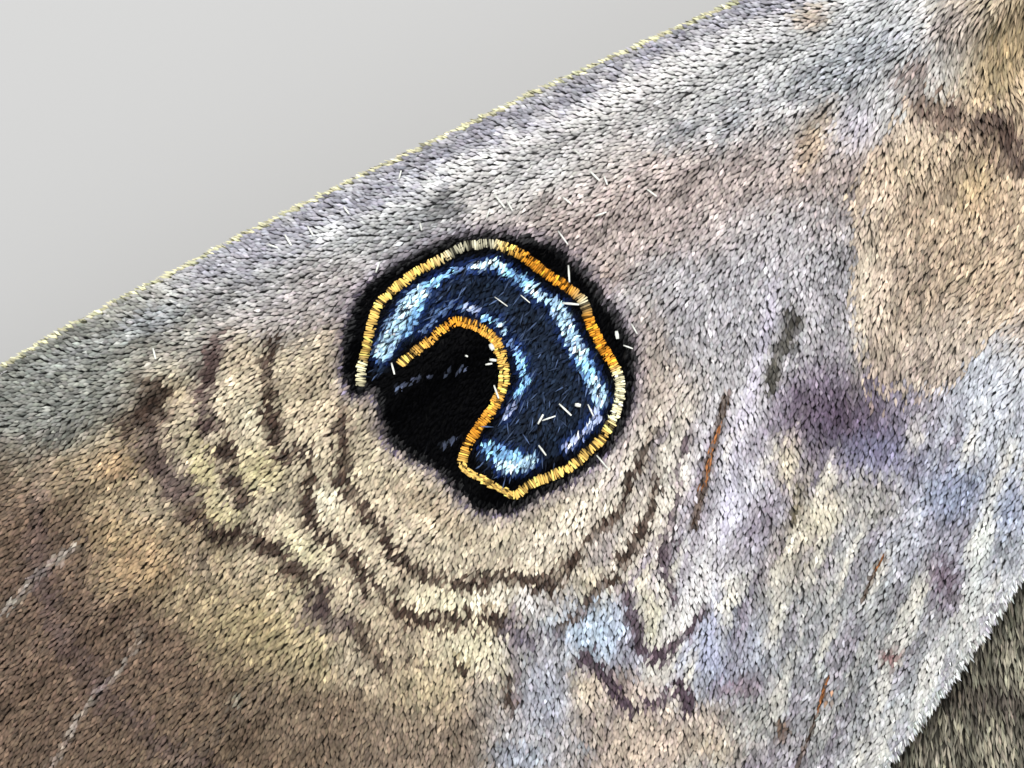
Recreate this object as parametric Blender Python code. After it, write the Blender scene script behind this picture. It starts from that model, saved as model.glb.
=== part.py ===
# A southern old lady moth at rest: wings spread flat, six feet on one level.
# +X is the moth's right, +Y its head end and +Z up. Point lists are in millimetres, other values in metres.
import math

import bmesh
import bpy
from mathutils import Matrix, Vector
from mathutils.geometry import delaunay_2d_cdt

MM = 0.001

# Gaps and thicknesses
TOUCH_GAP = 0.3 * MM
WING_THICK = 0.50 * MM
WING_EDGE_THICK = 0.40 * MM
WING_EDGE_STEP = 2.1 * MM
VEIN_HEIGHT = 0.24 * MM
VEIN_HALF_WIDTH = 0.36 * MM
VEIN_STEP = 2.1 * MM
VEIN_FADE = 1.8 * MM
WING_FILL_STEP = 4.0 * MM

# Where the wings are hinged, seen from the middle of the thorax
HINGE_X = 4.4 * MM
HINGE_Z = 7.3 * MM
FOREWING_SWEEP = math.radians(18.0)
HINDWING_DROP = 1.1 * MM

# The wings lie as one shallow roof, steeper towards the tips
ROOF_SLOPE_OUT = 0.092
ROOF_CURVE_OUT = 0.0009 / MM
ROOF_SLOPE_BACK = 0.060

# Body, all along the line x = 0; the forewing hinges stand at y = 0
THORAX_FRONT = 5.0 * MM
THORAX_BACK = -7.0 * MM
THORAX_HALF_WIDTH = 4.9 * MM
THORAX_UP = 4.5 * MM
THORAX_DOWN = 4.2 * MM
THORAX_Z = 5.8 * MM
TEGULA_EDGE = 0.40 * MM
TEGULA_CROWN = 0.55 * MM
ABDOMEN_FRONT = -5.0 * MM
ABDOMEN_BACK = -27.5 * MM
ABDOMEN_HALF_WIDTH = 3.95 * MM
ABDOMEN_UP = 3.7 * MM
ABDOMEN_DOWN = 3.2 * MM
ABDOMEN_Z = 5.2 * MM
ABDOMEN_SAG = 2.2 * MM
SEGMENTS = 7
HEAD_CENTRE = Vector((0.0, 6.4, 5.9)) * MM
HEAD_RADII = Vector((2.75, 2.5, 2.6)) * MM
EYE_CENTRE = Vector((2.25, 7.1, 6.0)) * MM
EYE_RADII = Vector((1.35, 1.5, 1.55)) * MM

# Forewing outline and veins: distance out along the costa, then distance in towards the inner margin
FOREWING_OUTLINE = [
    (-1.6, 0.5), (3.5, 0.12), (10.0, -0.12), (16.5, -0.30), (22.0, -0.34), (28.0, -0.22), (33.6, 0.10),
    (38.0, 0.80), (41.2, 1.75), (43.0, 3.0), (42.9, 5.0), (42.2, 8.2), (40.4, 12.6), (37.8, 17.0),
    (34.8, 20.9), (32.5, 23.1), (30.2, 24.0), (27.4, 23.2), (22.5, 20.8), (17.0, 18.0), (11.8, 15.3),
    (7.6, 12.3), (4.7, 9.3), (2.7, 6.4), (1.2, 4.4), (-1.6, 3.4),
]
FOREWING_VEINS = {
    "subcosta": [(1.0, 1.10), (5, 1.05), (12, 1.00), (18.0, 0.92), (24.0, 0.80), (29.5, 0.60)],
    "radius": [(0.8, 2.15), (4, 2.4), (10, 2.7), (16, 2.95), (20.5, 3.1), (26, 3.3), (33, 3.5), (42.0, 4.6)],
    "radius_1": [(25.5, 2.1), (31, 2.0), (36, 2.0), (40.6, 2.5)],
    "media_1": [(21.2, 4.3), (25.5, 5.1), (33, 6.5), (41.6, 8.5)],
    "media_2": [(20.7, 7.0), (24.5, 8.1), (31, 10.4), (39.9, 12.6)],
    "cubitus": [(0.8, 3.1), (4, 4.0), (9, 5.2), (14, 6.6), (18.5, 8.1), (22, 9.9), (29, 13.9), (37.3, 16.9)],
    "cubitus_1": [(17.4, 9.1), (20.5, 11.4), (26.0, 15.7), (34.2, 20.6)],
    "cubitus_2": [(11.4, 7.2), (15.3, 9.7), (19.0, 12.6), (24.0, 17.1), (30.1, 22.7)],
    "anal": [(1.2, 4.6), (5.0, 7.6), (10.5, 11.2), (15.6, 14.4), (20.5, 17.9), (25.6, 21.2)],
}

# Hindwing outline and veins: distance out from the body's middle, then forward of the forewing hinge
HINDWING_OUTLINE = [
    (3.2, -3.6), (6.0, -3.3), (11.0, -4.3), (17.0, -6.6), (23.0, -10.0), (28.2, -14.4), (31.6, -19.4),
    (32.2, -24.2), (30.2, -28.8), (26.6, -32.2), (22.2, -34.5), (17.2, -35.9), (12.6, -35.9), (9.2, -34.4),
    (6.9, -31.6), (5.5, -27.0), (4.8, -21.5), (4.65, -15.5), (4.5, -10.5), (3.2, -7.6),
]
HINDWING_VEINS = {
    "subcosta": [(6.0, -4.9), (9, -5.8), (15, -8.1), (21.5, -11.6), (27.6, -16.4)],
    "radial_sector": [(5.8, -6.0), (8, -7.6), (12.0, -10.4), (18, -14.2), (25, -18.6), (30.6, -21.6)],
    "media_1": [(12.4, -12.2), (18.5, -17.2), (25, -22.8), (29.6, -27.2)],
    "media_2": [(13.2, -15.0), (17.5, -19.8), (22.5, -26.0), (26.2, -31.2)],
    "cubitus": [(5.6, -7.5), (8.0, -10.4), (11.2, -14.8), (14.7, -20.4), (18.5, -27.2), (21.6, -33.8)],
    "cubitus_1": [(10.8, -16.9), (13.2, -21.8), (15.4, -28.2), (16.9, -35.1)],
    "anal_1": [(6.0, -10.2), (7.9, -14.6), (9.8, -20.5), (11.2, -27.5), (12.4, -34.9)],
    "anal_2": [(5.6, -13.8), (6.5, -18.5), (7.4, -24.5), (8.7, -32.2)],
}

# Legs: points of the path on the right side with the radius there; the last stretch lies on the floor
FOOT_RADIUS = 0.33
FOOT_Z = 0.24
LEGS = {
    "foreleg": [
        (2.2, 3.4, 3.6, 0.75), (2.5, 4.7, 2.4, 0.75), (3.4, 5.9, 2.2, 0.72), (5.2, 6.9, 2.9, 0.62),
        (5.9, 8.2, 2.6, 0.60), (6.6, 10.2, 1.3, 0.52), (6.9, 11.3, 0.5, 0.38), (7.3, 12.6, FOOT_Z, FOOT_RADIUS),
        (7.9, 14.6, FOOT_Z, FOOT_RADIUS), (8.5, 16.4, FOOT_Z, 0.26),
    ],
    "midleg": [
        (2.6, -0.6, 3.2, 0.80), (3.4, -0.4, 1.9, 0.80), (5.2, -0.6, 2.4, 0.74), (8.0, -1.1, 3.9, 0.62),
        (9.2, -1.5, 3.7, 0.60), (11.2, -2.7, 2.0, 0.54), (12.3, -3.5, 0.75, 0.40), (13.3, -4.4, FOOT_Z, FOOT_RADIUS),
        (14.7, -5.9, FOOT_Z, FOOT_RADIUS), (15.9, -7.4, FOOT_Z, 0.26),
    ],
    "hindleg": [
        (2.4, -4.2, 3.0, 0.80), (3.2, -4.7, 1.8, 0.80), (5.0, -5.9, 2.1, 0.74), (7.4, -8.0, 3.2, 0.62),
        (8.4, -9.4, 3.0, 0.60), (10.4, -13.0, 1.7, 0.54), (11.4, -15.0, 0.75, 0.40), (12.1, -16.6, FOOT_Z, FOOT_RADIUS),
        (13.2, -19.4, FOOT_Z, FOOT_RADIUS), (14.2, -22.2, FOOT_Z, 0.26),
    ],
}
# Spurs of the shins: share of the way along the path, length and radius at the root
SPURS = {"midleg": [0.60], "hindleg": [0.47, 0.60]}
SPUR_LENGTH = 1.5
SPUR_RADIUS = 0.26

ANTENNA_PATH = [
    (1.05, 7.0, 7.4, 0.52), (1.55, 8.1, 8.6, 0.46), (2.6, 9.6, 9.3, 0.34), (5.2, 12.2, 9.8, 0.32),
    (8.8, 14.9, 9.6, 0.29), (12.8, 17.1, 8.7, 0.27), (16.2, 18.5, 7.3, 0.24), (18.8, 19.3, 5.7, 0.12),
]
PALP_PATH = [
    (0.85, 6.9, 3.9, 0.50), (0.95, 8.2, 3.6, 0.62), (1.05, 9.3, 4.3, 0.66), (1.1, 9.8, 5.4, 0.58),
    (1.1, 9.9, 6.3, 0.36), (1.1, 10.0, 7.2, 0.30), (1.1, 10.3, 7.9, 0.16),
]
TONGUE_CENTRE = Vector((0.0, 9.25, 3.15))
TONGUE_RADIUS = 0.26
TONGUE_START, TONGUE_END, TONGUE_TURNS = 1.20, 0.36, 1.05
TONGUE_ROOT = (0.0, 7.5, 4.7, TONGUE_RADIUS)

# Finishes: colour, then roughness
BODY_SCALES = ((0.150, 0.105, 0.075, 1.0), 0.90)
FOREWING_SCALES = ((0.330, 0.270, 0.215, 1.0), 0.85)
HINDWING_SCALES = ((0.190, 0.150, 0.115, 1.0), 0.85)
EYE_FACETS = ((0.050, 0.030, 0.022, 1.0), 0.25)
HORN = ((0.170, 0.100, 0.055, 1.0), 0.45)
SIDES = {"left": -1, "right": 1}
SHARP_EDGE = math.radians(50)
CUTTERS = []


def clear_scene():
    for obj in list(bpy.data.objects):
        bpy.data.objects.remove(obj)


def give_finish(obj, finish):
    # Every piece has a material of its own, named after it
    colour, roughness = finish
    material = bpy.data.materials.new(obj.name)
    material.use_nodes = True
    shader = material.node_tree.nodes["Principled BSDF"]
    shader.inputs["Base Color"].default_value = colour
    shader.inputs["Roughness"].default_value = roughness
    shader.inputs["Metallic"].default_value = 0.0
    obj.data.materials.append(material)


def add_object(name, points, faces, finish):
    # One mesh object whose faces all point outwards
    mesh = bpy.data.meshes.new(name)
    mesh.from_pydata([tuple(p) for p in points], [], faces)
    work = bmesh.new()
    work.from_mesh(mesh)
    bmesh.ops.recalc_face_normals(work, faces=work.faces)
    work.to_mesh(mesh)
    work.free()
    obj = bpy.data.objects.new(name, mesh)
    bpy.context.scene.collection.objects.link(obj)
    mesh.shade_smooth()
    mesh.set_sharp_from_angle(angle=SHARP_EDGE)
    if finish:
        give_finish(obj, finish)
    return obj


def smooth_line(points, step, closed=False):
    # Points along a Catmull-Rom curve through the given ones, about one step apart
    vectors = [Vector(p) for p in points]
    count = len(vectors)
    spans = count if closed else count - 1
    line = []
    for i in range(spans):
        if closed:
            a, b, c, d = (vectors[(i + k) % count] for k in (-1, 0, 1, 2))
        else:
            b, c = vectors[i], vectors[i + 1]
            a = vectors[i - 1] if i > 0 else b * 2 - c
            d = vectors[i + 2] if i + 2 < count else c * 2 - b
        pieces = max(1, round((c - b).length / step))
        for k in range(pieces):
            t = k / pieces
            line.append(0.5 * (2 * b + (c - a) * t + (2 * a - 5 * b + 4 * c - d) * t * t
                               + (3 * b - a - 3 * c + d) * t * t * t))
    if not closed:
        line.append(vectors[-1])
    return line


def hull_gap(point, line):
    # Shortest distance from a point to a polyline
    best = float("inf")
    for a, b in zip(line, line[1:]):
        along = b - a
        t = max(0.0, min(1.0, (point - a).dot(along) / along.length_squared))
        best = min(best, (point - a - along * t).length)
    return best


def inside(point, loop):
    crossed = False
    for a, b in zip(loop, loop[1:] + loop[:1]):
        if (a.y > point.y) != (b.y > point.y):
            if point.x < a.x + (point.y - a.y) * (b.x - a.x) / (b.y - a.y):
                crossed = not crossed
    return crossed


def roof_height(x, y):
    # Height of the forewings' middle surface over any place beside the body
    out = max(0.0, abs(x) - HINGE_X)
    back = -y
    return HINGE_Z - ROOF_SLOPE_OUT * out - ROOF_CURVE_OUT * out * out - ROOF_SLOPE_BACK * back


def forewing_place(out, inward):
    # From the wing's own directions to the moth's: out along the costa, inward across the wing
    cos_s, sin_s = math.cos(FOREWING_SWEEP), math.sin(FOREWING_SWEEP)
    return Vector((HINGE_X + out * cos_s - inward * sin_s, -out * sin_s - inward * cos_s))


def hindwing_place(out, forward):
    return Vector((out, forward))


def wing_plan(outline, veins, place):
    # Flat triangles of one wing: its edge, its veins' crests and feet, and points that fill the membrane
    rim = smooth_line([place(a * MM, b * MM) for a, b in outline], WING_EDGE_STEP, closed=True)
    crests = [smooth_line([place(a * MM, b * MM) for a, b in vein], VEIN_STEP) for vein in veins.values()]
    points = list(rim)
    edges = [(i, (i + 1) % len(rim)) for i in range(len(rim))]
    for line in crests:
        first = len(points)
        points += line
        edges += [(first + i, first + i + 1) for i in range(len(line) - 1)]
    rim_line = rim + rim[:1]
    near_rim = 0.55 * MM

    def free(point, room):
        if not inside(point, rim) or hull_gap(point, rim_line) < near_rim:
            return False
        return all((point - other).length > room for other in points)

    for line in crests:
        others = [other for other in crests if other is not line]
        for way in (1, -1):
            previous = None
            for i, point in enumerate(line):
                along = line[min(i + 1, len(line) - 1)] - line[max(i - 1, 0)]
                foot = point + Vector((-along.y, along.x)).normalized() * VEIN_HALF_WIDTH * way
                clear = all(hull_gap(foot, other) > VEIN_HALF_WIDTH for other in others)
                if not (clear and free(foot, 0.5 * VEIN_HALF_WIDTH)):
                    previous = None
                    continue
                points.append(foot)
                if previous is not None:
                    edges.append((previous, len(points) - 1))
                previous = len(points) - 1
    low = Vector((min(p.x for p in rim), min(p.y for p in rim)))
    high = Vector((max(p.x for p in rim), max(p.y for p in rim)))
    row = 0
    y = low.y
    while y < high.y:
        x = low.x + (row % 2) * 0.5 * WING_FILL_STEP
        while x < high.x:
            spot = Vector((x, y))
            if free(spot, 0.5 * WING_FILL_STEP):
                points.append(spot)
            x += WING_FILL_STEP
        y += WING_FILL_STEP * 0.87
        row += 1
    rim_face = list(range(len(rim)))
    flat, _, triangles, _, _, _ = delaunay_2d_cdt(points, edges, [rim_face], 1, 1e-7)
    return flat, triangles, rim_line, crests


def vein_rise(spot, line):
    # How far a vein lifts the membrane at a spot; it fades in from where the vein starts
    near = hull_gap(spot, line)
    if near >= VEIN_HALF_WIDTH:
        return 0.0
    return VEIN_HEIGHT * (1.0 - near / VEIN_HALF_WIDTH) * min(1.0, (spot - line[0]).length / VEIN_FADE)


def wing_solid(name, side, outline, veins, place, drop, finish):
    # The membrane as a thin solid: both faces share their triangles, and the veins rise from the upper face
    flat, triangles, rim_line, crests = wing_plan(outline, veins, place)
    upper, lower = [], []
    for spot in flat:
        middle = roof_height(spot.x, spot.y) - drop
        to_rim = hull_gap(spot, rim_line)
        half = 0.5 * (WING_EDGE_THICK if to_rim < 0.1 * MM else WING_THICK)
        ridge = max(vein_rise(spot, line) for line in crests) * min(1.0, to_rim / VEIN_FADE)
        upper.append((side * spot.x, spot.y, middle + half + ridge))
        lower.append((side * spot.x, spot.y, middle - half))
    count = len(flat)
    faces = [tuple(t) for t in triangles]
    used = {}
    for a, b, c in faces:
        for edge in ((a, b), (b, c), (c, a)):
            key = tuple(sorted(edge))
            used[key] = None if key in used else edge
    sides = [(b, a, a + count, b + count) for a, b in filter(None, used.values())]
    under = [(c + count, b + count, a + count) for a, b, c in faces]
    split = [tri for a, b, c, d in sides for tri in ((a, b, c), (a, c, d))]
    return add_object(name, upper + lower, faces + under + split, finish)


def ring_solid(name, rings, finish):
    # Closed skin over a row of rings with the same number of points; each end is closed by a middle point
    count = len(rings[0])
    points = [p for ring in rings for p in ring]
    faces = []
    for r in range(len(rings) - 1):
        for k in range(count):
            a, b = r * count + k, r * count + (k + 1) % count
            faces.append((a, b, b + count, a + count))
    for ring, base in ((rings[0], 0), (rings[-1], (len(rings) - 1) * count)):
        middle = sum((Vector(p) for p in ring), Vector()) / count
        points.append(tuple(middle))
        tip = len(points) - 1
        faces += [(base + k, base + (k + 1) % count, tip) for k in range(count)]
    return add_object(name, points, faces, finish)


def tube(name, path, sides, step, finish, side=1, flat_floor=False):
    # A round limb along a smooth path; each path point holds x, y, z and the radius, in millimetres
    line = smooth_line([Vector(p) * MM for p in path], step)
    rings = []
    first = Vector((0, 0, 0))
    for i, station in enumerate(line):
        before, after = line[max(i - 1, 0)].xyz, line[min(i + 1, len(line) - 1)].xyz
        along = (after - before).normalized()
        level = along.cross(Vector((0, 0, 1)))
        if level.length < 0.2:
            level = along.cross(Vector((0, 1, 0)))
        first = level.normalized() * (-1 if level.dot(first) < 0 else 1)
        second = first.cross(along).normalized()
        ring = []
        for k in range(sides):
            turn = math.tau * (k + 0.5) / sides
            spot = station.xyz + (first * math.cos(turn) + second * math.sin(turn)) * station.w
            if flat_floor:
                spot.z = max(spot.z, 0.0)
            ring.append((side * spot.x, spot.y, spot.z))
        rings.append(ring)
    return ring_solid(name, rings, finish)


def thorax_ring(share):
    # Share 0 is the back of the thorax and 1 its front; the collar swells just before the neck
    y = THORAX_BACK + (THORAX_FRONT - THORAX_BACK) * share
    along = 2.0 * share - 1.0
    girth = (1.0 - abs(along) ** 2.9) ** 0.5 if abs(along) < 1.0 else 0.0
    girth = max(girth, 0.34)
    collar = 0.05 * math.exp(-((share - 0.84) / 0.07) ** 2)
    waist = -0.03 * math.exp(-((share - 0.70) / 0.05) ** 2)
    return y, girth * (1.0 + collar + waist)


def thorax_point(share, turn):
    # Turn is measured from straight up, towards the moth's right
    y, girth = thorax_ring(share)
    rise = THORAX_UP if math.cos(turn) > 0 else THORAX_DOWN
    crest = 0.07 * math.exp(-(math.sin(turn) / 0.28) ** 2) if math.cos(turn) > 0 else 0.0
    x = THORAX_HALF_WIDTH * girth * math.sin(turn)
    z = THORAX_Z + rise * girth * (math.cos(turn) * (1.0 + crest))
    return Vector((x, y, z))


def thorax(sides=24, stations=17):
    turns = [math.tau * k / sides for k in range(sides)]
    rings = [[thorax_point(s / (stations - 1), turn) for turn in turns] for s in range(stations)]
    return ring_solid("thorax", rings, BODY_SCALES)


def abdomen_ring(share, turn):
    # Share 0 is the waist; each segment laps a little over the one behind it
    y = ABDOMEN_FRONT + (ABDOMEN_BACK - ABDOMEN_FRONT) * share
    girth = (1.0 - 0.14 * (1 - share) ** 2) * (1.0 - share ** 2.3) ** 0.62 + 0.10 * share
    lap = (share * SEGMENTS) % 1.0
    girth *= 1.0 + 0.055 * (lap - 0.5) * (1.0 - 0.5 * share)
    rise = ABDOMEN_UP if math.cos(turn) > 0 else ABDOMEN_DOWN
    z = ABDOMEN_Z - ABDOMEN_SAG * share ** 1.4
    return Vector((ABDOMEN_HALF_WIDTH * girth * math.sin(turn), y, z + rise * girth * math.cos(turn)))


def abdomen():
    # Two rings stand close together where one segment laps over the next
    sides = 20
    lap = 0.035 / SEGMENTS
    shares = [0.0]
    for i in range(1, SEGMENTS + 1):
        shares += [(i - 0.5) / SEGMENTS, i / SEGMENTS - lap, i / SEGMENTS + lap]
    shares = [s for s in shares if s < 0.97] + [0.985]
    rings = [[abdomen_ring(s, math.tau * k / sides) for k in range(sides)] for s in shares]
    return ring_solid("abdomen", rings, BODY_SCALES)


def ball(name, centre, radii, finish, segments=24, rings=14, grow=0.0):
    mesh = bpy.data.meshes.new(name)
    work = bmesh.new()
    bmesh.ops.create_uvsphere(work, u_segments=segments, v_segments=rings, radius=1.0)
    size = Matrix.Diagonal((radii.x + grow, radii.y + grow, radii.z + grow, 1.0))
    bmesh.ops.transform(work, matrix=Matrix.Translation(centre) @ size, verts=work.verts)
    work.to_mesh(mesh)
    work.free()
    obj = bpy.data.objects.new(name, mesh)
    bpy.context.scene.collection.objects.link(obj)
    mesh.shade_smooth()
    if finish:
        give_finish(obj, finish)
    return obj


def head():
    # A ball drawn forward into the tuft between the feelers, with a crown a little behind it
    obj = ball("head", HEAD_CENTRE, HEAD_RADII, BODY_SCALES, segments=26, rings=16)
    for vertex in obj.data.vertices:
        away = vertex.co - HEAD_CENTRE
        forward = max(0.0, away.y / HEAD_RADII.y)
        middle = math.exp(-(away.x / (0.45 * HEAD_RADII.x)) ** 2)
        vertex.co.y += 0.55 * MM * forward ** 2 * middle * (1.0 if away.z > -0.8 * MM else 0.3)
        top = max(0.0, away.z / HEAD_RADII.z)
        vertex.co.z += 0.35 * MM * top ** 3 * middle
    return obj


def tegula(name, side):
    # Leaf-shaped shoulder flap that lies along the thorax over the wing's hinge
    rows, columns = 13, 9
    turn_mid, turn_half = math.radians(45), math.radians(21)
    share_front, share_back = 0.84, 0.20
    inner, outer = [], []
    for i in range(rows):
        u = i / (rows - 1)
        share = share_front + (share_back - share_front) * u
        lead = u ** 0.72
        wide = max(0.14, 2.0 * math.sqrt(lead * (1.0 - lead)))
        for j in range(columns):
            v = 2.0 * j / (columns - 1) - 1.0
            turn = turn_mid + turn_half * wide * v
            spot = thorax_point(share, turn)
            e = 0.01
            normal = (thorax_point(share + e, turn) - spot).cross(thorax_point(share, turn + e) - spot)
            normal.normalize()
            if normal.z < 0:
                normal.negate()
            crown = (1.0 - abs(v) ** 2.5) * (1.0 - abs(2.0 * u - 1.0) ** 3)
            near = spot + normal * TOUCH_GAP
            far = spot + normal * (TOUCH_GAP + TEGULA_EDGE + TEGULA_CROWN * crown)
            inner.append((side * near.x, near.y, near.z))
            outer.append((side * far.x, far.y, far.z))
    count = rows * columns
    faces = []
    for i in range(rows - 1):
        for j in range(columns - 1):
            a = i * columns + j
            quad = (a, a + 1, a + 1 + columns, a + columns)
            faces.append(quad)
            faces.append(tuple(k + count for k in reversed(quad)))
    border = [j for j in range(columns)] + [i * columns + columns - 1 for i in range(1, rows)]
    border += [(rows - 1) * columns + j for j in range(columns - 2, -1, -1)]
    border += [i * columns for i in range(rows - 2, 0, -1)]
    for a, b in zip(border, border[1:] + border[:1]):
        faces.append((b, a, a + count, b + count))
    return add_object(name, inner + outer, faces, BODY_SCALES)


def hide_as_cutter(obj):
    obj.hide_render = True
    obj.display_type = "WIRE"
    CUTTERS.append(obj)
    return obj


def grown_copy(obj, gap):
    # A copy of a closed piece, larger by the gap all over, that cuts what stands against the piece
    copy = bpy.data.objects.new(obj.name + "_cutter", obj.data.copy())
    bpy.context.scene.collection.objects.link(copy)
    work = bmesh.new()
    work.from_mesh(copy.data)
    work.normal_update()
    moves = [(v, v.co + v.normal * gap * v.calc_shell_factor()) for v in work.verts]
    for vertex, place in moves:
        vertex.co = place
    work.to_mesh(copy.data)
    work.free()
    return hide_as_cutter(copy)


def cut_clear(obj, cutter):
    cut = obj.modifiers.new("clear_of_" + cutter.name, "BOOLEAN")
    cut.operation = "DIFFERENCE"
    cut.solver = "EXACT"
    cut.object = cutter


def leg(name, kind, side):
    # The limb with its shin spurs, joined by one union
    limb = tube(name, LEGS[kind], 8, 0.95 * MM, HORN, side, flat_floor=True)
    path = smooth_line([Vector(p) * MM for p in LEGS[kind]], 0.2 * MM)
    spurs = []
    for share in SPURS.get(kind, []):
        i = int(share * (len(path) - 1))
        start, onward = path[i].xyz, (path[i + 3].xyz - path[i].xyz).normalized()
        outward = onward.cross(Vector((0, 0, 1))).normalized()
        for way in (-1, 1):
            aim = (onward + outward * way * 0.75).normalized() * SPUR_LENGTH * MM
            thin = SPUR_RADIUS * MM
            path_points = [(*start / MM, thin / MM), (*(start + aim * 0.55) / MM, 0.8 * thin / MM),
                           (*(start + aim) / MM, 0.25 * thin / MM)]
            spurs.append(tube("spur", path_points, 5, 0.8 * MM, None, side))
    if spurs:
        group = bpy.data.collections.new(name + "_spurs")
        for spur in spurs:
            group.objects.link(spur)
        union = limb.modifiers.new("spurs", "BOOLEAN")
        union.operation = "UNION"
        union.solver = "EXACT"
        union.operand_type = "COLLECTION"
        union.collection = group
        apply_modifiers(limb)
        for spur in spurs:
            bpy.data.objects.remove(spur)
        bpy.data.collections.remove(group)
    return limb


def apply_modifiers(obj):
    graph = bpy.context.evaluated_depsgraph_get()
    graph.update()
    made = bpy.data.meshes.new_from_object(obj.evaluated_get(graph))
    obj.modifiers.clear()
    obj.data = made
    made.shade_smooth()
    made.set_sharp_from_angle(angle=SHARP_EDGE)


def tongue():
    # The coiled tongue between the palps: a flat spiral that starts under the face
    steps = 22
    path = [TONGUE_ROOT]
    for i in range(steps):
        share = i / (steps - 1)
        turn = math.pi * 0.55 - math.tau * TONGUE_TURNS * share
        reach = TONGUE_START + (TONGUE_END - TONGUE_START) * share
        path.append((0.0, TONGUE_CENTRE.y + reach * math.cos(turn), TONGUE_CENTRE.z + reach * math.sin(turn),
                     TONGUE_RADIUS))
    return tube("proboscis", path, 8, 0.45 * MM, HORN)


def finish_pieces():
    # Carry out every cut, then take the cutters away
    bpy.context.view_layer.update()
    for obj in list(bpy.data.objects):
        if obj.modifiers:
            apply_modifiers(obj)
    for cutter in CUTTERS:
        bpy.data.objects.remove(cutter)


def centre_on_floor():
    # Move every piece so that the whole stands centred over the origin, its lowest point at the floor
    corners = [vertex.co for obj in bpy.data.objects for vertex in obj.data.vertices]
    back, front = min(c.y for c in corners), max(c.y for c in corners)
    shift = Matrix.Translation((0.0, -0.5 * (back + front), -min(c.z for c in corners)))
    for obj in bpy.data.objects:
        obj.data.transform(shift)


def main():
    clear_scene()
    body = thorax()
    tail = abdomen()
    face = head()
    body_cutter = grown_copy(body, TOUCH_GAP)
    tail_cutter = grown_copy(tail, TOUCH_GAP)
    face_cutter = grown_copy(face, TOUCH_GAP)
    cut_clear(tail, body_cutter)
    cut_clear(face, body_cutter)
    cut_clear(tongue(), face_cutter)
    for word, side in SIDES.items():
        centre = Vector((side * EYE_CENTRE.x, EYE_CENTRE.y, EYE_CENTRE.z))
        ball("eye_" + word, centre, EYE_RADII, EYE_FACETS, segments=18, rings=12)
        socket = ball("socket_" + word, centre, EYE_RADII, None, segments=18, rings=12, grow=TOUCH_GAP)
        cut_clear(face, hide_as_cutter(socket))
        cut_clear(tube("antenna_" + word, ANTENNA_PATH, 7, 1.1 * MM, HORN, side), face_cutter)
        cut_clear(tube("palp_" + word, PALP_PATH, 8, 0.7 * MM, BODY_SCALES, side), face_cutter)
        fore = wing_solid("forewing_" + word, side, FOREWING_OUTLINE, FOREWING_VEINS, forewing_place, 0.0,
                          FOREWING_SCALES)
        hind = wing_solid("hindwing_" + word, side, HINDWING_OUTLINE, HINDWING_VEINS, hindwing_place,
                          HINDWING_DROP, HINDWING_SCALES)
        cut_clear(fore, body_cutter)
        cut_clear(hind, body_cutter)
        cut_clear(hind, tail_cutter)
        tegula("tegula_" + word, side)
        for kind in LEGS:
            cut_clear(leg(kind + "_" + word, kind, side), body_cutter)
    finish_pieces()
    centre_on_floor()


main()
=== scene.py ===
# The looks of a southern old lady moth at rest: scaled wings, furred body, eyes, feelers and legs.
# Sizes are in millimetres unless a name says otherwise; MM turns them into the scene's metres.
import math

import bmesh
import bpy
import numpy as np
from mathutils import Matrix, Vector
from mathutils.geometry import delaunay_2d_cdt


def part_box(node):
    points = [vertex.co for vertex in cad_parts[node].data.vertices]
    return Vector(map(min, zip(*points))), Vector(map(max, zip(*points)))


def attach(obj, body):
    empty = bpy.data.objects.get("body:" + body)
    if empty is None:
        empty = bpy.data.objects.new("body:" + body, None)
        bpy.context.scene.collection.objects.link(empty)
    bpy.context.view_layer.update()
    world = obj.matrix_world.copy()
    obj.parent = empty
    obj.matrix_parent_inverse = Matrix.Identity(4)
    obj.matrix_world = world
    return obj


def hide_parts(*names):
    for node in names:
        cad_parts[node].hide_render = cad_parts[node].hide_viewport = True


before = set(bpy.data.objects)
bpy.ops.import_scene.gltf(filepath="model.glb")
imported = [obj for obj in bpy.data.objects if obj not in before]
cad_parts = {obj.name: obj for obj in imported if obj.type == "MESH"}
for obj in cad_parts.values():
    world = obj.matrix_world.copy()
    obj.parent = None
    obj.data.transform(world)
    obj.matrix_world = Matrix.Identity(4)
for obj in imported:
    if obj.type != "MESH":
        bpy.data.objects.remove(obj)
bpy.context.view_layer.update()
MM = 0.001
SIDES = {"left": -1, "right": 1}

# Camera.
# It looks straight down on the left forewing's middle, so that the costa crosses the picture's
# upper left corner; its place comes from the wing's own hinge, sweep and roof.
HINGE_X, HINGE_Z = 4.4, 7.3
THORAX_FRONT = 5.0
HINGE_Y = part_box("thorax")[1].y / MM - THORAX_FRONT
FOREWING_SWEEP = math.radians(18.0)
HINDWING_DROP = 1.1
ROOF_SLOPE_OUT, ROOF_CURVE_OUT, ROOF_SLOPE_BACK = 0.092, 0.0009, 0.060
PHOTO_SCALE = 40.0
PHOTO_HINGE = np.array([1213.0, -214.0])
PHOTO_MIDDLE = [(512.0, 384.0)]
PHOTO_ROLL = math.radians(25.5)
LENS, SENSOR = 65.0, 36.0
PHOTO_WIDTH = 1024.0


def placed(name, data):
    # A new object at the origin, linked to the scene
    thing = bpy.data.objects.new(name, data)
    bpy.context.scene.collection.objects.link(thing)
    return thing


def from_photo(points):
    # Picture pixels to the forewing's plan: out along the costa, then inward across the wing
    offset = np.asarray(points, float) - PHOTO_HINGE
    cos_roll, sin_roll = math.cos(PHOTO_ROLL), math.sin(PHOTO_ROLL)
    out = -offset[:, 0] * cos_roll + offset[:, 1] * sin_roll
    inward = offset[:, 0] * sin_roll + offset[:, 1] * cos_roll
    return np.stack([out, inward], axis=1) / PHOTO_SCALE


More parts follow.
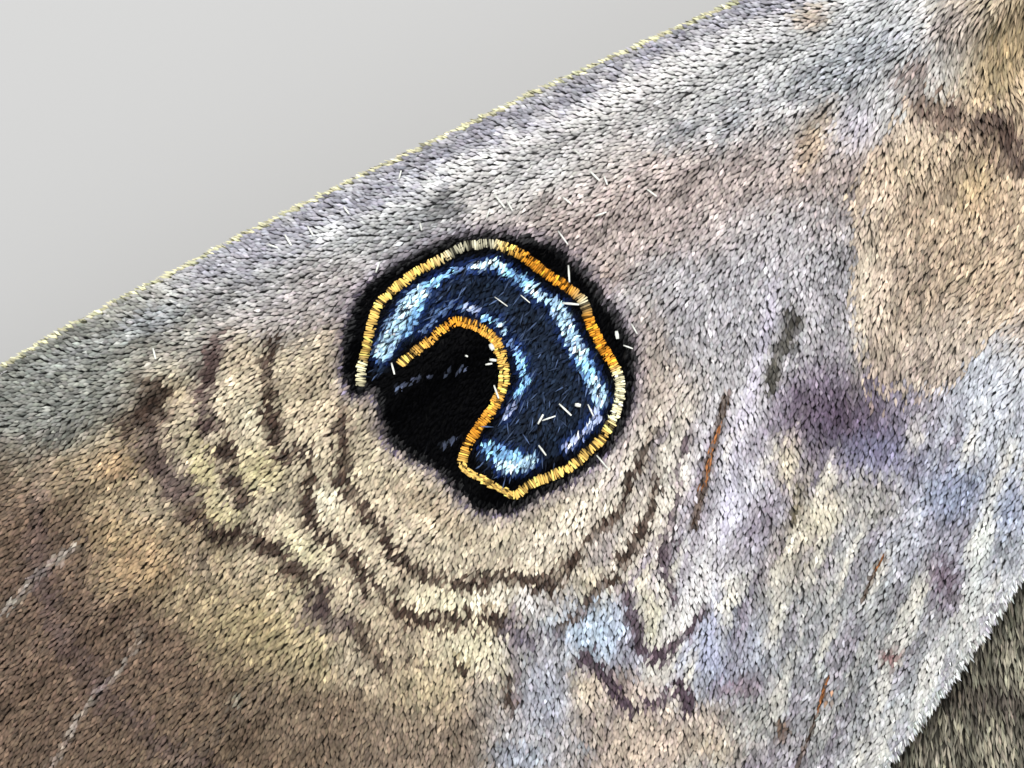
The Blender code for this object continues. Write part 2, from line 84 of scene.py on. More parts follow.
def forewing_place(spots):
    # Plan of the forewing to the distance from the body's middle line and the distance behind the hinge
    cos_sweep, sin_sweep = math.cos(FOREWING_SWEEP), math.sin(FOREWING_SWEEP)
    x = HINGE_X + spots[:, 0] * cos_sweep - spots[:, 1] * sin_sweep
    return x, spots[:, 0] * sin_sweep + spots[:, 1] * cos_sweep


def hindwing_place(spots):
    return spots[:, 0], spots[:, 1]


def roof_height(x, back):
    out = np.maximum(0.0, np.abs(x) - HINGE_X)
    return HINGE_Z - ROOF_SLOPE_OUT * out - ROOF_CURVE_OUT * out * out - ROOF_SLOPE_BACK * back


def to_world(side, x, back, height):
    return np.stack([side * x, HINGE_Y - back, height], axis=1) * MM


def middle_of_view(spots):
    x, back = forewing_place(spots)
    return to_world(SIDES["left"], x, back, roof_height(x, back))[0]


view_spot = from_photo(PHOTO_MIDDLE)
view_point = middle_of_view(view_spot)
out_way = Vector(middle_of_view(view_spot + [[0.1, 0.0]]) - view_point).normalized()
in_way = Vector(middle_of_view(view_spot + [[0.0, 0.1]]) - view_point).normalized()
view_back = out_way.cross(in_way).normalized()
view_right = (in_way * math.sin(PHOTO_ROLL) - out_way * math.cos(PHOTO_ROLL)).normalized()
view_up = view_back.cross(view_right)
distance = PHOTO_WIDTH / PHOTO_SCALE * MM * LENS / SENSOR
camera = placed("camera", bpy.data.cameras.new("camera"))
camera.data.lens = LENS
camera.data.sensor_width = SENSOR
camera.data.clip_start = MM
camera.matrix_world = Matrix.Translation(Vector(view_point) + view_back * distance) @ Matrix(
    (view_right, view_up, view_back)).transposed().to_4x4()
bpy.context.scene.camera = camera

# Wing membranes.
# Two thin skins with veins between them, one pair each side; in the model each wing is one sheet whose
# upper face swells over the veins. The sheet is cut a little inside the fringe and painted like its scales,
# dimmed as painted shade.
SKIN_HALF = 0.12
VEIN_RISE, VEIN_HALF_WIDTH = 0.20, 0.42
VEIN_FADE = 1.8
FRINGE_INSET, COSTA_INSET, MARGIN_INSET = 0.9, 0.12, 0.30
# The inner margin's run along the forewing, and the wing root's depth behind the first point
MARGIN_START, MARGIN_END, ROOT_DEPTH = 2.5, 28.5, 1.2
OUTLINE_STEP, VEIN_STEP, SKIN_STEP = 0.7, 0.9, 0.56
ROW_SHARE, RIM_CLEARANCE = 0.87, 0.4
FOREWING_OUTLINE = [
    (-1.6, 0.5), (3.5, 0.12), (10.0, -0.12), (16.5, -0.30), (22.0, -0.34), (28.0, -0.22), (33.6, 0.10),
    (38.0, 0.80), (41.2, 1.75), (43.0, 3.0), (42.9, 5.0), (42.2, 8.2), (40.4, 12.6), (37.8, 17.0),
    (34.8, 20.9), (32.5, 23.1), (30.2, 24.0), (27.4, 23.2), (22.5, 20.8), (16.9, 18.25), (11.8, 15.3),
    (7.6, 12.3), (4.7, 9.3), (2.7, 6.4), (1.2, 4.4), (-1.6, 3.4),
]
FOREWING_VEINS = [
    [(1.0, 1.10), (5, 1.05), (12, 1.00), (18.0, 0.92), (24.0, 0.80), (29.5, 0.60)],
    [(0.8, 2.15), (4, 2.4), (10, 2.7), (16, 2.95), (20.5, 3.1), (26, 3.3), (33, 3.5), (42.0, 4.6)],
    [(25.5, 2.1), (31, 2.0), (36, 2.0), (40.6, 2.5)],
    [(21.2, 4.3), (25.5, 5.1), (33, 6.5), (41.6, 8.5)],
    [(20.7, 7.0), (24.5, 8.1), (31, 10.4), (39.9, 12.6)],
    [(0.8, 3.1), (4, 4.0), (9, 5.2), (14, 6.6), (18.5, 8.1), (22, 9.9), (29, 13.9), (37.3, 16.9)],
    [(17.4, 9.1), (20.5, 11.4), (26.0, 15.7), (34.2, 20.6)],
    [(11.4, 7.2), (15.3, 9.7), (19.0, 12.6), (24.0, 17.1), (30.1, 22.7)],
    [(1.2, 4.6), (5.0, 7.6), (10.5, 11.2), (15.6, 14.4), (20.5, 17.9), (25.6, 21.2)],
]
HINDWING_OUTLINE = [
    (3.2, 3.6), (6.0, 3.3), (11.0, 4.3), (17.0, 6.6), (23.0, 10.0), (28.2, 14.4), (31.6, 19.4),
    (32.2, 24.2), (30.2, 28.8), (26.6, 32.2), (22.2, 34.5), (17.2, 35.9), (12.6, 35.9), (9.2, 34.4),
    (6.9, 31.6), (5.5, 27.0), (4.8, 21.5), (4.65, 15.5), (4.5, 10.5), (3.2, 7.6),
]
HINDWING_VEINS = [
    [(6.0, 4.9), (9, 5.8), (15, 8.1), (21.5, 11.6), (27.6, 16.4)],
    [(5.8, 6.0), (8, 7.6), (12.0, 10.4), (18, 14.2), (25, 18.6), (30.6, 21.6)],
    [(12.4, 12.2), (18.5, 17.2), (25, 22.8), (29.6, 27.2)],
    [(13.2, 15.0), (17.5, 19.8), (22.5, 26.0), (26.2, 31.2)],
    [(5.6, 7.5), (8.0, 10.4), (11.2, 14.8), (14.7, 20.4), (18.5, 27.2), (21.6, 33.8)],
    [(10.8, 16.9), (13.2, 21.8), (15.4, 28.2), (16.9, 35.1)],
    [(6.0, 10.2), (7.9, 14.6), (9.8, 20.5), (11.2, 27.5), (12.4, 34.9)],
    [(5.6, 13.8), (6.5, 18.5), (7.4, 24.5), (8.7, 32.2)],
]


def smooth_path(points, step, closed=False):
    # Points about one step apart on a curve through the given ones
    knots = np.asarray(points, float)
    if closed:
        ends = np.vstack([knots[-1:], knots, knots[:2]])
    else:
        ends = np.vstack([2 * knots[0] - knots[1], knots, 2 * knots[-1] - knots[-2]])
    line = []
    for a, b, c, d in zip(ends, ends[1:], ends[2:], ends[3:]):
        pieces = max(1, round(float(np.linalg.norm(c - b)) / step))
        t = (np.arange(pieces) / pieces)[:, None]
        line.append(0.5 * (2 * b + (c - a) * t + (2 * a - 5 * b + 4 * c - d) * t ** 2
                           + (3 * b - a - 3 * c + d) * t ** 3))
    if not closed:
        line.append(knots[-1:])
    return np.vstack(line)


def path_gap(spots, path):
    # Distance from each spot to a path, and the share of the way along it where it is nearest
    best = np.full(len(spots), np.inf)
    share = np.zeros(len(spots))
    for i, (a, b) in enumerate(zip(path, path[1:])):
        along = b - a
        t = np.clip((spots - a) @ along / (along @ along), 0.0, 1.0)
        gap = np.linalg.norm(spots - a - t[:, None] * along, axis=1)
        near = gap < best
        best[near] = gap[near]
        share[near] = (i + t[near]) / (len(path) - 1)
    return best, share


def within(spots, loop):
    crossed = np.zeros(len(spots), bool)
    for a, b in zip(loop, np.roll(loop, -1, axis=0)):
        spans = (a[1] > spots[:, 1]) != (b[1] > spots[:, 1])
        rise = b[1] - a[1] if b[1] != a[1] else 1e-9
        crossed ^= spans & (spots[:, 0] < a[0] + (spots[:, 1] - a[1]) * (b[0] - a[0]) / rise)
    return crossed


def inset_loop(loop, depth):
    # Move a closed outline inwards, by its own depth at each point
    along = np.roll(loop, -1, axis=0) - np.roll(loop, 1, axis=0)
    inward = np.stack([-along[:, 1], along[:, 0]], axis=1)
    inward /= np.linalg.norm(inward, axis=1)[:, None]
    return loop + inward * depth[:, None]


def bell(away, width, power=2):
    # 1 in the middle, falling away smoothly to either side
    return np.exp(-(np.abs(away) / width) ** power)


def ramp(value, start, end):
    # 0 before the start and 1 past the end
    return np.clip((value - start) / (end - start), 0.0, 1.0)


def plan_wing(outline, veins, place, drop, costa_reach, margin_end=0.0):
    # All that the skins, scales and fringes of one kind of wing share
    tips = smooth_path(outline, OUTLINE_STEP, closed=True)
    end, back = outline[costa_reach]
    front = tips[:, 1] < np.interp(tips[:, 0], [0.0, end], [outline[0][1] + ROOT_DEPTH, back])
    front &= tips[:, 0] < end
    inset = np.where(front, COSTA_INSET, FRINGE_INSET)
    inset[(tips[:, 0] < margin_end) & (tips[:, 0] > MARGIN_START) & ~front] = MARGIN_INSET
    inset = 0.25 * np.roll(inset, 1) + 0.5 * inset + 0.25 * np.roll(inset, -1)
    rim = inset_loop(tips, inset)
    return {"tips": tips, "rim": rim, "front": front, "place": place, "drop": drop,
            "veins": [smooth_path(vein, VEIN_STEP) for vein in veins]}


def vein_rise(spots, veins):
    rise = np.zeros(len(spots))
    for vein in veins:
        gap, _ = path_gap(spots, vein)
        start = np.linalg.norm(spots - vein[0], axis=1)
        swell = bell(gap, VEIN_HALF_WIDTH) * np.minimum(1.0, start / VEIN_FADE)
        rise = np.maximum(rise, VEIN_RISE * swell)
    return rise


def wing_surface(wing, side, spots, face):
    # Places on the upper (1) or lower (-1) face of a wing's skin
    x, back = wing["place"](spots)
    height = roof_height(x, back) - wing["drop"] + face * SKIN_HALF
    if face > 0:
        height = height + vein_rise(spots, wing["veins"])
    return to_world(side, x, back, height)


forewing = plan_wing(FOREWING_OUTLINE, FOREWING_VEINS, forewing_place, 0.0, 9, MARGIN_END)
hindwing = plan_wing(HINDWING_OUTLINE, HINDWING_VEINS, hindwing_place, HINDWING_DROP, 7)

# Forewing markings.
# Grey along the costa, cream with dark wavy lines round the eyespot, browns towards the tip and lilac greys
# towards the inner margin. Areas and lines are placed in picture pixels; colours are sRGB.
COSTA_GREY, SILVER, BRIGHT_SILVER = (130, 131, 124), (198, 198, 197), (208, 208, 206)
LILAC = (210, 206, 202)
MAUVE, GREY_LILAC, PURPLE = (176, 161, 154), (163, 160, 163), (106, 96, 110)
CREAM, OCHRE, OLIVE_TAN = (190, 176, 150), (160, 142, 114), (158, 143, 110)
BROWN, LOW_BROWN, DUSK_BROWN = (104, 86, 72), (108, 91, 74), (88, 76, 66)
TAN, GOLDEN_TAN, PINK_TAN = (194, 172, 148), (162, 143, 116), (172, 156, 142)
BLUE_GREY, SLATE, PALE, WARM_GREY = (172, 184, 202), (166, 169, 184), (196, 198, 200), (156, 157, 158)
LINE_BROWN, LINE_PURPLE, LINE_MAUVE, HAZE = (62, 48, 40), (80, 66, 74), (86, 70, 66), (116, 106, 122)
# Each area: centre, half length, half width, turn in degrees, colour, pull
AREAS = [
    ((60, 392), 150, 46, -26, COSTA_GREY, 1.6), ((330, 222), 160, 42, -26, BRIGHT_SILVER, 1.5),
    ((600, 105), 170, 52, -26, LILAC, 1.5), ((800, 60), 150, 66, -22, SILVER, 1.4),
    ((270, 308), 90, 36, -26, (160, 152, 150), 1.0), ((690, 196), 120, 56, -20, MAUVE, 1.2),
    ((745, 300), 90, 74, 0, GREY_LILAC, 1.1), ((640, 390), 28, 70, 10, (162, 148, 136), 1.0),
    ((230, 430), 100, 84, 30, CREAM, 1.2), ((340, 540), 96, 76, 30, CREAM, 1.3),
    ((480, 545), 110, 46, 0, (192, 179, 156), 1.3), ((430, 650), 90, 60, 0, (172, 156, 132), 1.1),
    ((640, 500), 44, 96, 20, (208, 197, 182), 1.4), ((715, 510), 34, 130, 14, (212, 209, 210), 1.4),
    ((803, 525), 30, 84, 14, (178, 168, 150), 0.9), ((95, 470), 70, 36, -20, OCHRE, 1.1),
    ((180, 565), 66, 36, 20, OCHRE, 1.0), ((262, 625), 66, 42, 20, OLIVE_TAN, 1.0),
    ((20, 560), 70, 90, 0, BROWN, 1.0), ((50, 700), 130, 90, 0, BROWN, 1.2),
    ((250, 740), 150, 60, 0, LOW_BROWN, 1.1), ((420, 750), 90, 44, 0, (140, 124, 107), 1.0),
    ((592, 628), 44, 28, -10, BLUE_GREY, 1.3), ((722, 650), 52, 40, 0, SLATE, 1.0),
    ((735, 500), 32, 50, 0, (196, 194, 210), 1.0), ((530, 715), 42, 66, 0, (166, 166, 172), 1.1),
    ((645, 745), 78, 34, 0, PINK_TAN, 1.1), ((830, 650), 96, 74, 0, WARM_GREY, 1.1),
    ((905, 730), 60, 50, -40, (172, 174, 176), 1.0), ((930, 490), 76, 84, -20, (172, 174, 184), 1.0),
    ((1005, 430), 52, 70, 0, (190, 194, 202), 1.2), ((860, 460), 60, 30, 0, (136, 130, 146), 0.9),
    ((830, 418), 62, 34, -4, PURPLE, 1.8), ((1010, 40), 60, 60, 0, GOLDEN_TAN, 1.2),
    ((-150, 560), 120, 110, 0, BROWN, 1.0), ((-180, 700), 110, 130, 0, DUSK_BROWN, 1.0),
    ((-60, 880), 150, 120, 0, LOW_BROWN, 1.0), ((200, 900), 160, 90, 0, (136, 124, 112), 1.0),
    ((480, 950), 150, 110, 0, (148, 138, 128), 1.0), ((560, 1120), 150, 60, 0, DUSK_BROWN, 1.0),
    ((760, 870), 90, 80, 0, WARM_GREY, 1.0), ((1120, 60), 110, 150, 0, GOLDEN_TAN, 1.1),
    ((1130, 300), 90, 150, 0, TAN, 1.0), ((1050, 520), 60, 60, 0, (204, 206, 208), 1.0),
]
# Smaller patches laid over them: centre, half length, half width, turn, colour and strength
PATCHES = [
    ((246, 418), 18, 14, 60, (216, 206, 178), 0.8), ((208, 474), 40, 14, 75, (198, 186, 140), 0.8),
    ((226, 516), 22, 11, 0, (196, 184, 138), 0.7), ((262, 470), 24, 22, 40, (190, 178, 134), 0.8),
    ((329, 500), 18, 15, 40, (224, 216, 190), 0.8), ((304, 548), 26, 15, 40, (212, 202, 164), 0.8),
    ((368, 464), 24, 20, 30, (206, 192, 162), 0.7), ((242, 362), 18, 17, 0, (198, 180, 152), 0.7),
    ((310, 400), 32, 30, 0, (194, 176, 148), 0.6), ((146, 558), 40, 30, -40, (164, 136, 102), 0.7),
    ((116, 466), 22, 15, -20, (174, 144, 110), 0.7), ((430, 520), 60, 24, 20, (200, 186, 160), 0.6),
    ((556, 538), 50, 20, -36, (214, 203, 184), 0.75), ((446, 599), 50, 14, 3, (228, 218, 186), 0.95),
    ((475, 650), 42, 26, 0, (224, 214, 182), 0.9), ((430, 690), 40, 24, 0, (186, 170, 136), 0.6),
    ((330, 655), 34, 18, 30, (176, 160, 122), 0.6), ((262, 625), 34, 22, 20, (162, 146, 110), 0.6),
    ((588, 586), 18, 12, -40, (208, 196, 164), 0.7), ((648, 618), 34, 12, 80, (212, 204, 176), 0.8),
    ((588, 696), 20, 14, 70, (204, 188, 164), 0.7), ((634, 690), 26, 16, 0, (194, 174, 162), 0.7),
    ((650, 742), 44, 26, 0, (192, 174, 154), 0.7), ((592, 632), 26, 19, -20, (182, 198, 214), 0.85),
    ((708, 646), 30, 14, 80, (170, 174, 198), 0.8), ((522, 758), 32, 13, 0, (156, 162, 174), 0.8),
    ((582, 752), 14, 8, 0, (166, 174, 184), 0.6), ((540, 690), 44, 26, 70, (158, 160, 172), 0.7),
    ((545, 600), 24, 18, 0, (176, 168, 162), 0.6), ((520, 640), 18, 12, 0, (160, 152, 162), 0.6),
    ((868, 448), 50, 26, 22, (112, 110, 134), 0.80), ((826, 416), 52, 24, 6, (90, 76, 92), 0.9),
    ((789, 512), 18, 6, 104, (84, 76, 54), 0.8), ((784, 464), 28, 11, 100, (206, 194, 168), 0.85),
    ((820, 522), 28, 18, 100, (214, 205, 182), 0.85), ((872, 510), 28, 24, 0, (168, 164, 156), 0.8),
    ((949, 493), 32, 29, 0, (134, 141, 162), 0.85), ((1010, 512), 36, 18, 90, (138, 146, 168), 0.85),
    ((976, 560), 58, 12, 100, (208, 213, 206), 0.7), ((744, 402), 66, 7, 103, (216, 208, 224), 0.7),
    ((764, 318), 44, 8, 104, (206, 198, 214), 0.6), ((722, 522), 52, 6, 103, (206, 200, 220), 0.65),
    ((196, 518), 22, 12, 30, (104, 88, 62), 0.6), ((938, 580), 27, 13, 70, (104, 90, 100), 0.90),
    ((887, 661), 11, 8, 0, (112, 82, 80), 0.85), ((738, 686), 28, 11, 0, (118, 98, 108), 0.7),
    ((760, 32), 26, 20, -20, (196, 192, 192), 0.6), ((802, 20), 20, 15, -30, (164, 144, 124), 0.7),
    ((850, 64), 62, 24, -28, (136, 139, 144), 0.75), ((809, 146), 36, 17, 115, (178, 154, 128), 0.75),
    ((848, 130), 28, 20, 100, (180, 175, 184), 0.7), ((902, 78), 20, 10, -20, (146, 122, 112), 0.6),
    ((940, 36), 26, 20, 120, (150, 136, 128), 0.6), ((1000, 66), 52, 26, 115, (154, 135, 101), 0.75),
    ((972, 190), 30, 20, 110, (186, 162, 122), 0.7), ((984, 46), 12, 6, 120, (92, 80, 56), 0.7),
    ((906, 170), 34, 18, 110, (198, 178, 150), 0.6), ((858, 300), 90, 10, 96, (212, 198, 176), 0.6),
    ((150, 322), 40, 14, -26, (174, 176, 178), 0.8), ((75, 352), 40, 12, -26, (160, 162, 158), 0.7),
    ((175, 540), 26, 15, 30, (132, 116, 92), 0.6), ((230, 592), 22, 12, 30, (150, 134, 110), 0.5),
    ((855, 540), 30, 14, 100, (170, 167, 160), 0.6), ((920, 630), 24, 26, 0, (168, 168, 166), 0.5),
    ((862, 722), 22, 24, 0, (160, 160, 160), 0.8), ((925, 376), 27, 22, 0, (160, 146, 134), 0.8),
    ((975, 270), 24, 40, 0, (178, 157, 133), 0.6), ((672, 282), 32, 18, 0, (186, 184, 184), 0.5),
    ((360, 664), 20, 20, 0, (166, 152, 132), 0.5), ((525, 172), 34, 12, -20, (204, 202, 200), 0.6),
    ((1006, 557), 24, 15, -40, (112, 115, 124), 0.9), ((804, 306), 26, 12, 100, (212, 206, 208), 0.8),
    ((290, 715), 36, 34, 0, (138, 121, 102), 0.6), ((545, 214), 36, 14, -10, (156, 145, 140), 0.6),
    ((600, 166), 32, 14, -20, (174, 166, 160), 0.6), ((765, 236), 66, 30, 0, (188, 182, 181), 0.6),
    ((672, 480), 44, 13, 100, (212, 204, 194), 0.5), ((856, 496), 22, 16, 0, (160, 156, 152), 0.6),
    ((620, 300), 20, 16, 0, (188, 184, 182), 0.6), ((600, 275), 14, 10, 40, (180, 160, 146), 0.5),
    ((724, 552), 24, 18, 0, (178, 174, 174), 0.5), ((988, 210), 22, 24, 0, (160, 136, 112), 0.5),
    ((430, 508), 52, 15, 28, (168, 148, 122), 0.55), ((500, 600), 36, 12, 6, (228, 220, 202), 0.7),
    ((534, 604), 26, 14, 0, (208, 204, 202), 0.7), ((352, 652), 22, 18, 0, (190, 176, 152), 0.7),
    ((925, 412), 24, 16, 0, (150, 142, 150), 0.5), ((415, 550), 26, 10, 36, (184, 170, 146), 0.5),
    ((180, 396), 18, 12, 80, (204, 184, 152), 0.7), ((152, 426), 30, 17, 70, (112, 96, 88), 0.6),
    ((174, 478), 28, 13, 44, (110, 98, 96), 0.6), ((208, 424), 30, 9, 84, (158, 142, 128), 0.6),
    ((200, 566), 22, 14, 60, (146, 130, 116), 0.5), ((112, 530), 26, 20, 0, (168, 144, 108), 0.6),
    ((237, 701), 8, 6, 0, (172, 170, 152), 0.6), ((141, 630), 14, 5, 56, (158, 142, 124), 0.5),
    ((17, 604), 10, 6, -45, (172, 170, 158), 0.6), ((712, 750), 20, 14, 0, (172, 154, 130), 0.6),
    ((748, 720), 26, 34, 0, (158, 158, 152), 0.6), ((463, 664), 12, 6, 30, (146, 130, 92), 0.6),
]
AREA_FALLOFF, GROUND_WEIGHT = 1.3, 0.02
LINE_SPREAD = 1.3
# How much clumps of scales differ in shade, everywhere and over the cream ground
CLUMP_ALL, CLUMP_CREAM = 0.10, 0.14
CREAM_MIDDLE, CREAM_REACH = (440, 540), (330, 150)
# Cells of the noises that shift the paint, roughen its lines and gather scales in clumps, in pixels
DRIFT_CELL, DRIFT_REACH, WOBBLE_CELL, CLUMP_CELL, TUFT_CELL = 34, 16.0, 13, 9.0, 5.0
PAINT_GAIN = 0.970
# Each wavy line: its route, half width in pixels, colour and strength
WAVY_LINES = [
    ([(344, 384), (338, 408), (338, 434), (341, 452), (343, 474), (356, 496), (370, 512), (384, 540),
      (396, 552), (410, 565), (440, 577), (474, 580), (500, 575), (520, 580), (545, 586), (570, 568),
      (585, 548), (605, 525), (622, 500), (635, 470), (649, 450), (662, 426)], 5.5, LINE_BROWN, 0.90),
    ([(268, 334), (270, 356), (271, 376), (268, 408), (275, 432), (278, 450)], 6.2, LINE_BROWN, 0.92),
    ([(268, 452), (282, 457), (298, 458), (314, 456)], 6.5, LINE_BROWN, 1.35),
    ([(302, 474), (306, 490), (313, 512), (326, 536), (342, 547), (350, 562), (366, 582), (386, 600),
      (406, 618), (446, 622), (474, 619), (494, 622), (508, 634), (522, 646)], 4.8, LINE_BROWN, 0.95),
    ([(500, 630), (520, 640), (544, 640), (560, 632)], 5.5, (96, 90, 100), 0.60),
    ([(550, 636), (574, 617), (596, 594), (616, 577), (630, 556), (640, 538), (647, 520), (653, 500),
      (664, 470)], 5.0, LINE_BROWN, 0.85),
    ([(659, 570), (664, 546), (669, 526), (675, 502), (678, 470), (690, 436)], 3.6, LINE_PURPLE, 0.75),
    ([(366, 264), (400, 240), (430, 226), (466, 210)], 16.0, (124, 123, 124), 0.60),
    # Painted shade: a lilac grey band along the costa darkens the scales there, which turn towards the costa
    # and catch the lamp
    ([(170, 293), (250, 249), (330, 205), (420, 160), (520, 112), (620, 66), (740, 14), (830, -30)],
      19.0, (150, 148, 157), 0.72),
    ([(640, 150), (700, 130), (800, 96), (890, 52)], 20.0, (130, 132, 136), 0.50),
    ([(-12, 632), (20, 602), (60, 562), (84, 540)], 3.0, (164, 156, 146), 0.65),
    ([(50, 772), (80, 724), (100, 700), (128, 660), (146, 640)], 2.6, (160, 150, 140), 0.60),
    ([(0, 446), (30, 436), (52, 440)], 2.0, (158, 148, 138), 0.35),
    ([(622, 580), (628, 610), (634, 630), (640, 646), (655, 656), (667, 651), (678, 640), (690, 629),
      (704, 606)], 6.0, LINE_PURPLE, 1.0),
    ([(216, 330), (212, 356), (205, 384), (207, 412), (213, 436)], 6.8, LINE_MAUVE, 0.90),
    ([(218, 442), (230, 462), (240, 484), (252, 508)], 7.0, LINE_BROWN, 0.85),
    ([(186, 500), (196, 522), (206, 531), (222, 540), (244, 535), (262, 540), (280, 558), (292, 570),
      (308, 584), (328, 604), (344, 616)], 7.0, LINE_BROWN, 0.88),
    ([(340, 614), (356, 628), (374, 650), (392, 668)], 5.0, LINE_BROWN, 0.60),
    ([(166, 384), (150, 412), (124, 442)], 16.0, LINE_BROWN, 0.75),
    ([(140, 440), (162, 468), (184, 494), (200, 512)], 14.0, LINE_MAUVE, 0.60),
    ([(306, 600), (328, 612), (348, 632)], 12.0, LINE_PURPLE, 0.35),
    ([(578, 672), (590, 662), (601, 675), (612, 690), (618, 706), (634, 714), (648, 708), (661, 700),
      (674, 688), (688, 704), (696, 716)], 6.0, LINE_PURPLE, 1.25),
    ([(498, 676), (508, 692), (511, 708)], 5.5, LINE_BROWN, 0.75),
    ([(514, 606), (513, 640), (512, 700)], 3.0, (136, 124, 128), 0.6),
    ([(424, 660), (428, 666)], 5.0, LINE_BROWN, 0.7),
    ([(458, 666), (470, 674)], 5.0, LINE_BROWN, 0.7),
    ([(408, 656), (414, 664)], 5.0, LINE_BROWN, 0.5),
    ([(670, 600), (667, 586), (662, 570), (674, 540)], 5.5, LINE_PURPLE, 0.70),
    ([(690, 520), (700, 488), (708, 460)], 4.0, (120, 108, 104), 0.5),
    ([(792, 316), (778, 352), (764, 400)], 9.0, (70, 67, 60), 1.0),
    ([(893, 84), (914, 106), (936, 120), (960, 130), (990, 138), (1010, 150), (1026, 166), (1070, 200),
      (1110, 240), (1150, 330)], 16.0, (92, 75, 66), 0.85),
    ([(822, 694), (817, 706)], 3.0, (176, 122, 84), 0.60),
    ([(780, 722), (786, 738)], 6.0, (110, 84, 66), 0.75),
    ([(-70, 410), (-90, 520), (-40, 640), (-20, 760), (90, 860), (230, 905), (330, 960), (480, 1000),
      (600, 1010), (690, 950), (770, 930)], 13.0, LINE_BROWN, 0.55),
    ([(60, 430), (40, 540), (70, 640), (150, 730), (270, 800), (420, 840), (560, 850), (660, 800),
      (760, 780), (830, 790)], 9.0, LINE_PURPLE, 0.25),
]
# The eyespot: black ground, gold ring with its hook, and the blue crescent inside
BLACK_OUTLINE = [
    (346, 372), (347, 345), (353, 316), (364, 294), (384, 276), (408, 262), (435, 249), (462, 240),
    (490, 238), (520, 242), (545, 250), (566, 263), (584, 280), (598, 301), (614, 322), (626, 346),
    (630, 372), (629, 398), (623, 421), (610, 443), (590, 464), (565, 480), (538, 495), (510, 509),
    (485, 508), (464, 496), (447, 475), (426, 461), (403, 450), (390, 436), (383, 417), (380, 399),
    (372, 388), (362, 393), (352, 389),
]
RING = [
    (361, 385), (362, 370), (365, 354), (369, 337), (373, 321), (381, 304), (392, 292), (402, 284),
    (415, 274), (427, 267), (440, 261), (452, 254), (464, 248), (478, 246), (492, 246), (506, 251),
    (524, 260), (545, 275), (566, 289), (582, 303), (587, 321), (599, 345), (610, 363), (616, 376),
    (619, 388), (617, 401), (613, 416), (605, 431), (597, 443), (587, 452), (577, 461), (565, 469),
    (550, 476), (537, 481), (525, 487), (513, 495), (501, 489), (486, 481), (472, 474), (463, 464),
    (466, 450), (476, 431), (490, 412), (500, 393), (504, 376), (501, 358), (495, 342), (482, 331),
    (467, 325), (456, 321), (444, 328), (431, 340), (415, 352), (400, 365),
]
BLACK_LOOP, RING_LOOP = (smooth_path(line, 8.0, closed=True) for line in (BLACK_OUTLINE, RING))
RING_GOLD, RING_ORANGE = (236, 192, 104), (226, 148, 46)
RING_PALE, RING_GREY = (226, 216, 176), (182, 176, 150)
# Knots of the ring where its colour changes, and how its scales lie there: across, in twos, or along
RING_KNOTS = [0, 1, 2, 9, 11, 14, 15, 16, 18, 19, 20, 22, 23, 26, 27, 34, 39, 41, 44, 49, 53]
RING_TONES = [
    RING_PALE, RING_PALE, RING_GOLD, RING_GOLD, RING_GREY, RING_GREY, RING_GOLD, RING_ORANGE, RING_ORANGE,
    RING_GREY, RING_ORANGE, RING_ORANGE, RING_PALE, RING_PALE, RING_GOLD, RING_GOLD, RING_GOLD, RING_ORANGE,
    RING_GOLD, RING_ORANGE, RING_GOLD,
]
RING_ALONG = (35, 39)
RING_TWOS = [(14, 18), (20, 26), (41, 49)]
SKY_BLUE, ICE, STEEL_BLUE, LILAC_BLUE = (140, 190, 236), (186, 222, 250), (104, 130, 176), (186, 198, 236)
FAINT_BLUE = (66, 72, 88)
# Each pale blue stroke inside the eyespot: its route, half width and colour
BLUE_STROKES = [
    ([(383, 352), (392, 334), (402, 318)], 8.5, ICE), ([(402, 318), (412, 302), (420, 296)], 8.5, ICE),
    ([(405, 332), (412, 318), (420, 304)], 5.0, SKY_BLUE), ([(424, 290), (441, 279)], 4.0, SKY_BLUE),
    ([(436, 280), (454, 273)], 3.2, SKY_BLUE), ([(457, 271), (470, 267)], 2.0, STEEL_BLUE),
    ([(473, 270), (491, 266)], 4.2, ICE), ([(493, 264), (502, 272)], 3.2, ICE),
    ([(502, 272), (514, 278), (526, 285)], 4.4, SKY_BLUE), ([(526, 286), (540, 298)], 5.0, ICE),
    ([(544, 299), (560, 305)], 3.4, ICE), ([(556, 310), (567, 329)], 6.5, ICE),
    ([(567, 335), (580, 356)], 7.0, ICE), ([(579, 358), (590, 377)], 6.5, SKY_BLUE),
    ([(591, 380), (600, 401)], 6.0, ICE), ([(594, 412), (596, 421)], 3.4, LILAC_BLUE),
    ([(589, 424), (583, 433)], 3.2, LILAC_BLUE), ([(582, 434), (566, 447)], 3.4, LILAC_BLUE),
    ([(488, 448), (500, 454), (514, 457)], 6.0, SKY_BLUE), ([(502, 465), (516, 466), (530, 461)], 6.5, ICE),
    ([(420, 331), (433, 322)], 2.6, STEEL_BLUE), ([(436, 315), (452, 305)], 2.4, STEEL_BLUE),
    ([(456, 304), (462, 309)], 2.2, STEEL_BLUE), ([(465, 308), (476, 312)], 2.4, LILAC_BLUE),
    ([(482, 318), (495, 325)], 2.6, SKY_BLUE), ([(499, 326), (502, 331)], 3.6, ICE),
    ([(508, 343), (516, 346)], 2.6, STEEL_BLUE), ([(516, 352), (523, 365)], 3.4, SKY_BLUE),
    ([(522, 371), (527, 382)], 3.4, SKY_BLUE), ([(523, 388), (514, 397)], 3.2, SKY_BLUE),
    ([(515, 404), (504, 417)], 2.6, LILAC_BLUE), ([(396, 390), (415, 380), (432, 377)], 1.3, FAINT_BLUE),
    ([(445, 375), (464, 368)], 1.1, FAINT_BLUE), ([(438, 448), (450, 442), (456, 436)], 1.6, FAINT_BLUE),
]
SLATE_NAVY, DEEP_BLUE = (30, 39, 54), (26, 46, 100)
INK = (2, 2, 3)
